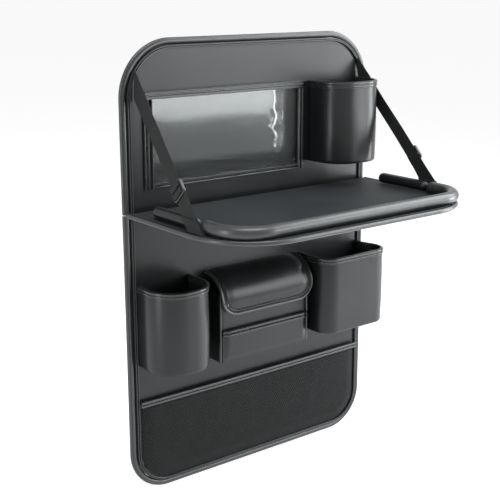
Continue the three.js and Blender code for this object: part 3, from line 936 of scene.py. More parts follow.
@dataclass
class PanelHalf:
    """One half of the panel: lining, board, padded skin, edge roll and inner welt."""

    half: Half
    shape: UShape
    seams: SeamBook
    roll_radius: float = 4.6 * MM
    roll_middle: float = 5.0 * MM
    roll_groove: float = 0.72
    layer_inset: float = 9.5 * MM
    welt_width: float = 4.2 * MM
    dip: float = 1.3 * MM
    dip_reach: float = 3.5 * MM
    unevenness: float = 0.16 * MM
    welt_ridges: tuple[Ridge, ...] = ((-1.0, -0.2, 1.4 * MM), (0.2, 1.0, 2.5 * MM))
    welt_back: float = 0.5 * MM

    def skin_height(self, s: float, t: float) -> float:
        """How far the skin's face stands before its back.

        Args:
            s: Place across the panel.
            t: Place up the panel.

        Returns:
            The distance.
        """
        low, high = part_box(f"{self.half.value}_front_skin")
        full = high.y - low.y
        edge = self.shape.depth(s, t) - self.layer_inset
        seam = abs(t - self.shape.start)
        sunk = self.dip * math.exp(-max(min(edge, seam), 0.0) / self.dip_reach)
        return full - self.unevenness - sunk + wobble(Vector((s, 0.0, t)), 0.055, self.unevenness)

    def build(self) -> None:
        """Makes the half's pieces."""
        name = self.half.value
        skin_back = -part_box(f"{name}_front_skin")[1].y
        skin = Shell().add(slab_rows(
            self.shape,
            self.layer_inset,
            from_back,
            lambda s, t: skin_back + self.skin_height(s, t),
            lambda s, t: skin_back,
        ))
        piece = settle(skin.build(f"{name}_skin", SKIN), "panel", Slot.SKIN, f"{name}_front_skin")
        self.build_lining()
        path = self.shape.path(self.roll_radius)
        roll = Shell().add(sweep(path, self.shape.way, from_back, self.roll_section))
        settle(roll.build(f"{name}_edge_roll", ROLL), "panel", Slot.LEATHER, f"{name}_binding")
        self.build_welt()

    def roll_section(self, run: float) -> list[Point]:
        """The edge roll's section.

        Args:
            run: Distance along the roll.

        Returns:
            The section's points.
        """
        swell = 1 + wobble(Vector((run, 0.0, 0.0)), 0.03, 0.02)
        section = round_section(self.roll_radius * swell, 28, self.roll_groove)
        return [(a, self.roll_middle + h) for a, h in section]

    def build_lining(self) -> None:
        """Makes the nonwoven lining on the back."""
        name = f"{self.half.value}_back_lining"
        low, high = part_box(name)
        thick = high.y - low.y
        lining = Shell().add(slab_rows(
            self.shape,
            self.layer_inset,
            from_back,
            lambda s, t: thick,
            lambda s, t: 0.1 * MM + wobble(Vector((s, 1.0, t)), 0.04, 0.1 * MM),
        ))
        piece = settle(lining.build(f"{self.half.value}_lining", LINING), "panel", Slot.LINING, name)

    def build_welt(self) -> None:
        """Makes the sewn welt between the roll and the skin, with its stitches."""
        half = self.welt_width / 2
        section = [(a, SEWN_GAP + h) for a, h in ridges(scaled(self.welt_ridges, half))]
        section += [(half, -self.welt_back), (-half, -self.welt_back)]
        path = self.shape.path(self.layer_inset + half)
        welt = Shell().add(sweep(path, self.shape.way, on_panel, lambda run: section))
        name = self.half.value
        settle(welt.build(f"{name}_welt", ROLL), "panel", Slot.ROLL, f"{name}_inner_welt")
        self.seams.trace(path, self.shape.way, on_panel, (0.0, 0.9 * MM))


@dataclass
class Pocket:
    """A pocket of leatherette that stands out from the panel, open at its top."""

    name: str
    radius: float
    left_flare: float = 0.0
    right_flare: float = 0.0
    wall: float = 2.4 * MM
    bottom_bend: float = 2.6 * MM
    bulge: float = 0.9 * MM
    hem: bool = True
    seams: SeamBook | None = None
    squash_keep: float | None = None
    hem_ridges: tuple[Ridge, ...] = ((0.0, 0.1, 0.4 * MM), (0.2, 0.47, 1.1 * MM), (0.6, 0.93, 1.4 * MM))
    hem_crown: float = 0.07
    hem_seams: Point = (0.15, 0.535)

    def plan(self, step: float = 3 * MM) -> list[Point]:
        """The pocket's outer face seen from above.

        Args:
            step: Length between its points.

        Returns:
            Its points from left to right.
        """
        low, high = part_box(self.name)
        left, right = low.x + self.left_flare, high.x - self.right_flare
        back, front = high.y, low.y
        depth = back - front
        corner = front + self.radius

        def side(x: float, flare: float) -> list[Point]:
            """A side, which starts straight and then spreads.

            Args:
                x: Where it starts.
                flare: How far it spreads.

            Returns:
                Its points, from the panel to the corner.
            """
            count = max(3, round(abs(corner - back) / step))
            points = []
            for i in range(count):
                share = i / count
                y = back + (corner - back) * share
                start = 0.25 * depth / abs(corner - back) if flare else 0.0
                points.append((x + flare * smooth((share - start * 0.4) / 0.8), y))
            return points

        def bend(x: float, begin: float) -> list[Point]:
            """A round front corner.

            Args:
                x: The middle of its arc.
                begin: The angle that it begins at.

            Returns:
                Its points.
            """
            turns = max(6, round(self.radius * QUARTER / step))
            return [
                (x + self.radius * math.cos(begin + QUARTER * i / turns),
                 corner + self.radius * math.sin(begin + QUARTER * i / turns))
                for i in range(turns + 1)
            ]

        first = low.x + self.radius
        last = high.x - self.radius
        across = max(1, round((last - first) / step))
        flat = [(first + (last - first) * i / across, front) for i in range(1, across)]
        points = side(left, low.x - left) + bend(first, math.pi) + flat + bend(last, math.pi * 1.5)
        return points + list(reversed(side(right, high.x - right)))

    def fullness(self, run: float, total: float, rise: float) -> float:
        """How far the wall stands out past its plan.

        Args:
            run: Distance along the wall.
            total: The wall's whole length.
            rise: Place up the wall, 0 to 1.

        Returns:
            The distance.
        """
        across = math.sin(math.pi * min(max(run / total, 0.0), 1.0)) ** 0.7
        uneven = wobble(Vector((run, rise * 0.1, 3.0)), 0.03, 0.25 * MM)
        return self.bulge * across * math.sin(math.pi * rise) + uneven

    def build(self) -> None:
        """Makes the pocket's wall, floor and hem."""
        low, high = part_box(self.name)
        plan = self.plan()
        total = path_length(plan)
        rises = [0.0, 0.006, 0.014, 0.026] + [0.05 + 0.95 * i / 16 for i in range(17)]
        height = high.z - low.z

        def section(run: float) -> list[Point]:
            """The wall's section, with its lower edge rounded under.

            Args:
                run: Distance along the wall.

            Returns:
                The section's points, inward and up.
            """
            outer, inner = [], []
            for rise in rises:
                z = low.z + height * rise
                over = min(z - low.z, self.bottom_bend)
                tuck = self.bottom_bend - math.sqrt(self.bottom_bend**2 - (self.bottom_bend - over) ** 2)
                outer.append((tuck - self.fullness(run, total, rise), z))
                inner.append((self.wall - self.fullness(run, total, rise), z))
            return outer + inner[::-1]

        shell = Shell().add(sweep(plan, -1.0, level, section))
        shell.add(self.floor_rows(plan, low.z))
        pieces = [shell.build(self.name + "_wall", LEATHER)]
        settle(pieces[0], "panel", Slot.LEATHER, self.name)
        if self.hem:
            pieces.append(self.build_hem(plan))
        if self.squash_keep is not None:
            for piece in pieces:
                flatten(piece)

    def floor_rows(self, plan: Sequence[Point], bottom: float) -> list[list[Vector]]:
        """The pocket's floor, as thick as its wall.

        Args:
            plan: The pocket's plan.
            bottom: The height of the floor's underside.

        Returns:
            The floor's two rings.
        """
        inset = self.wall / 2
        edge = [(s + inset * a, t + inset * b) for (s, t), (a, b) in zip(plan, inward(plan, -1.0))]
        return [[level(s, t, z) for s, t in edge] for z in (bottom, bottom + self.wall)]

    def build_hem(self, plan: Sequence[Point]) -> bpy.types.Object:
        """Makes the stitched hem round the pocket's rim.

        Args:
            plan: The pocket's plan.

        Returns:
            The hem.
        """
        low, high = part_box(f"{self.name}_hem")
        tall = high.z - low.z
        face = [(-(0.1 * MM + h), low.z + rise) for rise, h in ridges(scaled(self.hem_ridges, tall))]
        lip = self.wall / 2
        edge = self.hem_crown * tall
        turns = [math.pi * i / 6 for i in range(1, 6)]
        crown = [
            (lip - (lip + 0.6 * MM) * math.cos(turn), high.z - edge + edge * math.sin(turn))
            for turn in turns
        ]
        inner = [(self.wall + 0.5 * MM, high.z - 0.1 * tall), (self.wall + 0.4 * MM, low.z)]
        section = face + crown + inner
        hem = Shell().add(sweep(plan, -1.0, level, lambda run: section))
        made = settle(hem.build(f"{self.name}_rim", HEM), "panel", Slot.LEATHER, f"{self.name}_hem")
        if self.seams is not None:
            for rise in self.hem_seams:
                self.seams.trace(plan, -1.0, level, (-0.35 * MM, low.z + rise * tall))
        return made


def flatten(piece: bpy.types.Object) -> None:
    """Gives a soft piece its own mesh."""
    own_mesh(piece)


@dataclass
class BoxPocket(Pocket):
    """The box pocket, with pipings down its corners and a slot pocket on its front."""

    slot_rise: float = 9 * MM
    slot_wall: float = 1.6 * MM
    piping_radius: float = 1.8 * MM
    slot_ridges: tuple[Ridge, ...] = ((0.0, 0.4, 1.5 * MM), (0.56, 0.97, 2.0 * MM))

    def build(self) -> None:
        """Makes the box, its pipings, the slot pocket and that pocket's hem."""
        super().build()
        for node in ("box_left_piping", "box_right_piping"):
            self.build_piping(node)
        self.build_slot()

    def build_piping(self, node: str) -> None:
        """Makes a piping down one corner.

        Args:
            node: The node that it replaces.
        """
        low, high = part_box(node)
        middle = (low + high) / 2
        count = 24
        rows = []
        for i in range(count + 1):
            share = i / count
            z = low.z + (high.z - low.z) * share
            end = min(share, 1 - share) * (high.z - low.z) / self.piping_radius
            radius = self.piping_radius * math.sqrt(min(1.0, 0.35 + end))
            rows.append([level(middle.x + a, middle.y + b, z) for a, b in round_section(radius, sides=12)])
        settle(Shell().add(rows).build(node + "_cord", ROLL), "panel", Slot.ROLL, node)

    def build_slot(self) -> None:
        """Makes the slot pocket's sheet and its double hem."""
        low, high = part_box("box_slot_pocket")
        low.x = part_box("box_left_piping")[1].x + SEWN_GAP
        high.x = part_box("box_right_piping")[0].x - SEWN_GAP
        hem_low, hem_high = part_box("box_slot_hem")
        base = -high.y
        reach = -hem_low.y - base - 0.4 * MM

        def rise(s: float, t: float) -> float:
            """How far the sheet's face stands off the box.

            Args:
                s: Place across the box.
                t: Place up the box.

            Returns:
                The distance.
            """
            edge = min(s - low.x, high.x - s, t - low.z)
            lifted = smooth(edge / self.slot_rise) * smooth((t - low.z) / (hem_high.z - low.z) + 0.25)
            return self.slot_wall + (reach - self.slot_wall) * lifted

        def at(s: float, t: float, h: float) -> Vector:
            """A point in front of the box."""
            return Vector((s, -base - h, t))

        count = 40
        rows = []
        for i in range(count + 1):
            t = low.z + (hem_high.z - 1.0 * MM - low.z) * i / count
            across = [low.x + (high.x - low.x) * (0.5 + 0.5 * share) for share in crowded(count)]
            ring = [at(s, t, rise(s, t)) for s in across]
            rows.append(ring + [at(s, t, rise(s, t) - self.slot_wall) for s in reversed(across)])
        settle(Shell().add(rows).build("box_slot_sheet", LEATHER), "panel", Slot.LEATHER, "box_slot_pocket")
        tall = hem_high.z - hem_low.z
        spans = scaled(self.slot_ridges, tall)
        path = [(s, hem_low.z) for s in even(low.x, high.x, count)]

        def follow(s: float, t: float, h: float) -> Vector:
            """A point at a height over the sheet."""
            return at(s, t, rise(s, hem_low.z) + h)

        section = ridges(spans) + [(spans[-1][1], -self.slot_wall), (0.0, -0.4 * MM)]
        hem = Shell().add(sweep(path, -1.0, follow, lambda run: section))
        settle(hem.build("box_slot_rim", HEM), "panel", Slot.LEATHER, "box_slot_hem")
        if self.seams is not None:
            self.seams.trace(path, -1.0, follow, (0.47 * tall, 0.35 * MM))
            self.seams.trace(path, -1.0, follow, (-1.0 * MM, 0.2 * MM))


@dataclass
class Flap:
    """The padded flap that hangs over the box pocket."""

    seams: SeamBook
    thickness: float = 3.0 * MM
    bend_radius: float = 40.0 * MM
    corner_radius: float = 26.0 * MM
    binding_radius: float = 2.2 * MM
    puff: float = 1.3 * MM
    puff_reach: float = 14 * MM
    seam_insets: Point = (3.1 * MM, 6.6 * MM)
    groove_width: float = 0.75 * MM
    groove_depth: float = 1.5 * MM

    def __post_init__(self) -> None:
        """Works out the flap's flat pattern from the frame."""
        low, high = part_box("flap_binding")
        self.middle_z = high.z - self.binding_radius
        self.middle_out = -FACE - low.y - self.binding_radius
        self.back_out = SEWN_GAP
        self.flat_run = self.middle_out - self.bend_radius - self.back_out
        self.bend_run = self.bend_radius * QUARTER
        hang = self.middle_z - low.z - self.binding_radius
        self.shape = UShape(
            (high.x - low.x) / 2 - self.binding_radius,
            0.0,
            self.flat_run + self.bend_run + hang - self.bend_radius,
            self.corner_radius,
            (low.x + high.x) / 2,
        )

    def bent(self, s: float, run: float, lift: float) -> Vector:
        """Bends a point of the flat pattern over the box.

        Args:
            s: Place across the flap.
            run: Distance from its seam.
            lift: Height over its middle layer.

        Returns:
            Where the point lies.
        """
        if run <= self.flat_run:
            return Vector((s, -FACE - self.back_out - run, self.middle_z + lift))
        angle = min((run - self.flat_run) / self.bend_radius, QUARTER)
        hang = max(run - self.flat_run - self.bend_run, 0.0)
        reach = self.bend_radius + lift
        forward = self.middle_out - self.bend_radius + reach * math.sin(angle)
        return Vector((s, -FACE - forward, self.middle_z - self.bend_radius + reach * math.cos(angle) - hang))

    def height(self, s: float, run: float) -> float:
        """Height of the flap's padded face over its middle layer.

        Args:
            s: Place across the flap.
            run: Distance from its seam.

        Returns:
            The height.
        """
        edge = self.shape.depth(s, run)
        grooves = sum(math.exp(-(((edge - seam) / self.groove_width) ** 2)) for seam in self.seam_insets)
        pad = self.puff * smooth((edge - self.seam_insets[1]) / self.puff_reach)
        uneven = wobble(Vector((s, run, 5.0)), 0.03, 0.2 * MM)
        return self.thickness / 2 + pad - self.groove_depth * grooves + uneven

    def build(self) -> None:
        """Makes the flap and its edge welt."""
        rows = slab_rows(
            self.shape,
            self.binding_radius * 0.6,
            self.bent,
            self.height,
            lambda s, run: -self.thickness / 2,
            (90, 60),
        )
        flap = settle(Shell().add(rows).build("flap_pad", LEATHER), "flap", Slot.LEATHER, "flap")
        path = self.shape.path(0.0, 2.5 * MM)
        section = round_section(self.binding_radius, sides=14)
        edge = Shell().add(sweep(path, 1.0, self.bent, lambda run: section))
        settle(edge.build("flap_welt", ROLL), "flap", Slot.ROLL, "flap_binding")
        thread = (0.0, self.thickness / 2 - 0.8 * MM)
        for inset in self.seam_insets:
            self.seams.trace(self.shape.path(inset, 2.5 * MM), 1.0, self.bent, thread)


@dataclass
class MeshPocket:
    """The wide pocket of air mesh at the bottom, with its welted hem."""

    shape: UShape
    seams: SeamBook
    pitch: float = 3.7 * MM
    opening: float = 0.56
    wall: float = 0.7 * MM
    seam_reach: float = 22 * MM
    bag: float = 1.6 * MM
    bag_reach: float = 80 * MM
    hem_ridges: tuple[Ridge, ...] = ((0.0, 0.46, 2.3 * MM), (0.56, 1.08, 2.6 * MM))
    hem_back: float = 0.6 * MM

    def lift(self, s: float, t: float) -> float:
        """How far the net stands off the panel's face.

        Args:
            s: Place across the panel.
            t: Place up the panel.

        Returns:
            The distance.
        """
        low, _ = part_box("mesh_pocket")
        full = -FACE - low.y
        share = smooth((self.shape.depth(s, t) + 1 * MM) / self.seam_reach)
        middle = smooth(self.shape.depth(s, t) / self.bag_reach)
        return 0.6 * MM + (full - 1.2 * MM) * share + self.bag * middle

    def build(self) -> None:
        """Makes the net and its hem."""
        low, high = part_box("mesh_pocket")
        lattice = bmesh.new()
        down = self.pitch * math.sqrt(3) / 2
        rows = int((high.z - low.z) / down) + 2
        columns = int((high.x - low.x) / self.pitch) + 2
        grid: dict[tuple[int, int], bmesh.types.BMVert] = {}
        for i in range(rows):
            t = high.z - down * i
            for j in range(columns):
                s = low.x + self.pitch * (j + 0.5 * (i % 2))
                if t > low.z and self.shape.depth(s, t) > -0.3 * self.pitch:
                    grid[i, j] = lattice.verts.new(on_panel(s, t, self.lift(s, t)))
        for i, j in list(grid):
            k = j + i % 2
            for corners in (((i, j), (i + 1, k - 1), (i + 1, k)), ((i, j), (i + 1, k), (i, j + 1))):
                if all(corner in grid for corner in corners):
                    lattice.faces.new([grid[corner] for corner in corners])
        mesh = bpy.data.meshes.new("mesh_pocket_net")
        lattice.to_mesh(mesh)
        lattice.free()
        source = bpy.data.objects.new("mesh_pocket_net", mesh)
        bpy.context.scene.collection.objects.link(source)
        values = {"Opening": self.opening, "Material": MESH.material()}
        net = run_tree(source, perforation_tree(), values, self.wall)
        settle(net, "panel", Slot.MESH, "mesh_pocket")
        self.build_hem()

    def build_hem(self) -> None:
        """Makes the two welts of the hem and the stitches between them."""
        low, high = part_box("mesh_hem")
        tall = high.z - low.z
        count = 60
        path = [(s, low.z - 0.4 * MM) for s in even(low.x, high.x, count)]
        base = -FACE - high.y

        def at(s: float, t: float, h: float) -> Vector:
            """A point in front of the hem's back."""
            middle = 1 - (abs(s) / high.x) ** 2
            return on_panel(s, t, base + h + self.bag * middle)

        spans = scaled(self.hem_ridges, tall)
        section = ridges(spans, 8) + [(spans[-1][1], -self.hem_back), (0.0, -self.hem_back)]
        hem = Shell().add(sweep(path, -1.0, at, lambda run: section))
        settle(hem.build("mesh_rim", ROLL), "panel", Slot.LEATHER, "mesh_hem")
        self.seams.trace(path, -1.0, at, (0.51 * tall, 0.5 * MM))


@dataclass
class WindowPocket:
    """The clear window pocket: film, three sewn bands and a free top band."""

    seams: SeamBook
    film_wave: float = 0.14 * MM
    zigzag_step: float = 3.4 * MM
    zigzag_width: float = 1.8 * MM
    zigzag_places: Point = (0.27, 0.77)
    crease: float = 31 * MM
    crease_drop: float = 3.6 * MM
    crease_sways: Point = (7 * MM, 2 * MM)
    rim_height: float = 0.35 * MM
    rim_width: float = 2.2 * MM
    left_ridges: tuple[Ridge, ...] = ((0.0, 0.22, 0.5), (0.32, 0.72, 0.62), (0.82, 1.0, 1.0))
    right_ridges: tuple[Ridge, ...] = ((0.0, 0.38, 1.0), (0.54, 1.0, 0.85))
    bottom_ridges: tuple[Ridge, ...] = ((0.0, 0.4, 0.75), (0.56, 1.0, 1.0))
    top_ridges: tuple[Ridge, ...] = ((0.0, 0.16, -0.4 * MM), (0.28, 0.68, -0.8 * MM), (0.74, 1.0, 1.2 * MM))

    def band(
        self,
        side: str,
        ends: tuple[Point, Point],
        spans: Sequence[Ridge],
        base: float = SEWN_GAP,
    ) -> None:
        """Makes one band as ridges side by side.

        Args:
            side: The side of the window that it runs along.
            ends: First and last point of the band's left or lower edge.
            spans: Start, end and height of each ridge across the band.
            base: Height of the band's back over the panel's face.
        """
        count = 40
        (s0, t0), (s1, t1) = ends
        path = list(zip(even(s0, s1, count), even(t0, t1, count)))
        section = ridges(spans) + [(spans[-1][1], base), (spans[0][0], base)]

        def uneven(run: float) -> list[Point]:
            """The section with a slight unevenness along the band."""
            lift = 1 + wobble(Vector((run, s0, t0)), 0.02, 0.05)
            return [(a, h * lift) for a, h in section]

        band = Shell().add(sweep(path, -1.0, on_panel, uneven))
        settle(band.build(f"window_{side}_trim", HEM), "panel", Slot.LEATHER, f"window_{side}_band")

    def build(self) -> None:
        """Makes the bands, their stitches and the film."""
        left_low, left_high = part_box("window_left_band")
        right_low, right_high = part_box("window_right_band")
        top_low, top_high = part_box("window_top_band")
        bottom_low, bottom_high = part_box("window_bottom_band")
        side_top = top_low.z - SEWN_GAP
        high = -FACE - left_low.y
        sides = (
            ("left", self.left_ridges, left_low, left_high),
            ("right", self.right_ridges, right_low, right_high),
        )
        for side, shares, low, far in sides:
            ends = ((low.x, side_top), (low.x, low.z))
            self.band(side, ends, scaled(shares, far.x - low.x, high))
        tall = bottom_high.z - bottom_low.z
        ends = ((left_high.x, bottom_low.z), (right_low.x, bottom_low.z))
        self.band("bottom", ends, scaled(self.bottom_ridges, tall, high))
        tall = top_high.z - top_low.z
        front = -FACE - top_low.y
        spans = [(start, end, front + rise) for start, end, rise in scaled(self.top_ridges, tall)]
        ends = ((left_low.x, top_low.z), (right_high.x, top_low.z))
        self.band("top", ends, spans, -FACE - top_high.y)
        for share in self.zigzag_places:
            place = left_low.x + share * (left_high.x - left_low.x)
            self.zigzag(place, left_low.z + 3 * MM, side_top - 3 * MM, 0.5 * high)
        self.build_film()

    def zigzag(self, s: float, bottom: float, top: float, height: float) -> None:
        """Adds a zigzag of stitches up a band.

        Args:
            s: Middle of the zigzag across the window.
            bottom: Where it begins.
            top: Where it ends.
            height: How far its thread stands off the panel's face.
        """
        steps = round((top - bottom) / self.zigzag_step)
        line = []
        for i in range(steps + 1):
            aside = self.zigzag_width / 2 * (1 if i % 2 else -1)
            line.append(on_panel(s + aside, bottom + (top - bottom) * i / steps, height))
        self.seams.lines.append(line)

    def fall(self, s: float, t: float, edge: float) -> float:
        """How the film falls back toward its right seam, past an uneven crease.

        Args:
            s: Place across the window.
            t: Place up the window.
            edge: Where the film ends on the right.

        Returns:
            The film's offset from its flat place, never positive past the crease.
        """
        start = self.crease + wobble(Vector((0.0, 2.0, t)), 0.016, self.crease_sways[0])
        start += wobble(Vector((1.0, 2.0, t)), 0.006, self.crease_sways[1])
        past = (s - start) / (edge - start)
        rim = self.rim_height * math.exp(-(((s - start + 2 * MM) / self.rim_width) ** 2))
        return rim - self.crease_drop * past if past > 0 else rim

    def build_film(self) -> None:
        """Makes the film, which lies in slight waves between the bands."""
        low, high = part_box("window_film")
        back, thick = -FACE - high.y, high.y - low.y
        tuck = 1.5 * MM
        count = 120
        rows = []
        for i in range(count + 1):
            t = low.z - tuck + (high.z - low.z + 2 * tuck) * i / count
            across = even(low.x - tuck, high.x + tuck, count)
            wave = [
                wobble(Vector((s, 0.7, t * 1.6)), 0.09, self.film_wave) + self.fall(s, t, high.x + tuck)
                for s in across
            ]
            ring = [on_panel(s, t, back + thick + w) for s, w in zip(across, wave)]
            rows.append(ring + [on_panel(s, t, back + w) for s, w in zip(reversed(across), reversed(wave))])
        settle(Shell().add(rows).build("window_clear", FILM), "panel", Slot.FILM, "window_film")


@dataclass
class Tray:
    """The fold-up tray: pad, cover, edge welt, front roll and side rolls."""

    shape: UShape
    seams: SeamBook
    welt_radius: float = 3.25 * MM
    layer_inset: float = 6.8 * MM
    roll_radius: float = 7.75 * MM
    front_roll_radius: float = 8.5 * MM
    front_roll_reach: float = 3.5 * MM
    roll_lift: float = -0.8 * MM
    roll_corner: float = 49 * MM
    left_roll_back: float = 7 * MM
    end_round: float = 7 * MM
    pad_dip: float = 0.9 * MM
    pad_dip_reach: float = 2.5 * MM
    side_flat: float = 0.86
    neck: float = 3.6 * MM
    pucker: float = 0.55 * MM
    pucker_step: float = 1.3 * MM

    def build(self) -> None:
        """Makes the tray's pieces."""
        low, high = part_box("tray_top_pad")
        thick = high.z - low.z

        def pad_top(s: float, t: float) -> float:
            """Height of the pad's face.

            Args:
                s: Place across the tray.
                t: Place along it.

            Returns:
                The height.
            """
            edge = min(self.shape.depth(s, t) - self.layer_inset, abs(t - self.shape.start))
            sunk = self.pad_dip * math.exp(-max(edge, 0.0) / self.pad_dip_reach)
            return low.z + thick - 0.15 * MM - sunk + wobble(Vector((s, t, 9.0)), 0.05, 0.15 * MM)

        pad = Shell().add(slab_rows(self.shape, self.layer_inset, level, pad_top, lambda s, t: low.z))
        settle(pad.build("tray_pad", PAD), "tray", Slot.LEATHER, "tray_top_pad")
        low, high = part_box("tray_bottom_cover")
        rows = slab_rows(self.shape, self.layer_inset, level, lambda s, t: high.z, lambda s, t: low.z)
        cover = Shell().add(rows)
        settle(cover.build("tray_underside", LEATHER), "tray", Slot.LEATHER, "tray_bottom_cover")
        low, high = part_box("tray_binding")
        middle = (low.z + high.z) / 2
        section = [(a, middle + h) for a, h in round_section(self.welt_radius, sides=18, groove=-0.9)]
        path = self.shape.path(self.welt_radius)
        welt = Shell().add(sweep(path, self.shape.way, level, lambda run: section))
        settle(welt.build("tray_welt", ROLL), "tray", Slot.ROLL, "tray_binding")
        self.seams.trace(path, self.shape.way, level, (self.welt_radius + 1.1 * MM, middle + 2.9 * MM))
        self.build_front_roll()
        for node in ("left_side_roll", "right_side_roll"):
            self.build_side_roll(node)

    def taper(self, run: float, total: float) -> float:
        """How full a roll is at a distance along it, with its two ends rounded off."""
        near = min(run, total - run) / self.end_round
        return 1.0 if near >= 1 else math.sqrt(max(1 - (1 - near) ** 2, 0.0)) * 0.97 + 0.03

    def build_front_roll(self) -> None:
        """Makes the padded front roll on its sewn neck, with the puckers of its seam."""
        low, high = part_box("front_roll")
        radius = self.front_roll_radius
        front = low.y + radius - self.front_roll_reach
        shape = UShape(high.x - radius, high.y, front, self.roll_corner)
        path = shape.path(0.0, 2 * MM)
        total = path_length(path)
        middle = low.z + self.roll_lift + radius

        def section(run: float) -> list[Point]:
            """The roll's section, open at its foot where the neck leaves it.

            Args:
                run: Distance along the roll.

            Returns:
                The section's points, inward and up.
            """
            full = self.taper(run, total)
            ring = []
            count = 26
            for i in range(count + 1):
                angle = -0.82 * math.pi + 1.64 * math.pi * i / count
                inner_low = smooth((angle - 0.25 * math.pi) / (0.5 * math.pi))
                beat = run / self.pucker_step + 3 * noise.noise(Vector((run * 60, 0, 0)))
                pucker = inner_low * self.pucker * math.sin(beat)
                reach = (radius + pucker) * full + wobble(Vector((run, angle * 0.01, 2.0)), 0.025, 0.25 * MM)
                ring.append((reach * math.sin(angle), middle + reach * math.cos(angle)))
            foot = self.neck * full
            return ring + [(foot, low.z), (-foot, low.z)]

        roll = Shell().add(sweep(path, -1.0, level, section))
        piece = settle(roll.build("front_roll_pad", ROLL, 50.0), "tray", Slot.ROLL, "front_roll")
        self.seams.trace(path, -1.0, level, (4.6 * MM, low.z + 0.4 * MM))

    def build_side_roll(self, node: str) -> None:
        """Makes one short padded roll beside the tray. It takes the darker leatherette finish rather than the
        roll finish, as painted shade for the shade that the side rolls sit in.

        Args:
            node: The node that it replaces.
        """
        low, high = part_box(node)
        middle = (low + high) / 2
        count = 36
        total = high.y - low.y
        back = self.left_roll_back if middle.x < 0 else 0.0
        rows = []
        for i in range(count + 1):
            run = total * i / count
            full = self.taper(run, total)
            ring = []
            for a, h in round_section(self.roll_radius * full, sides=24):
                flat = max(h, -self.roll_radius * self.side_flat * full)
                ring.append(level(middle.x + a, low.y + back + run, middle.z + flat * 0.98))
            rows.append(ring)
        # The darker leatherette finish is painted shade: these rolls are of the roll leatherette, as their
        # slot says.
        piece = settle(Shell().add(rows).build(node + "_pad", LEATHER, 50.0), "tray", Slot.ROLL, node)


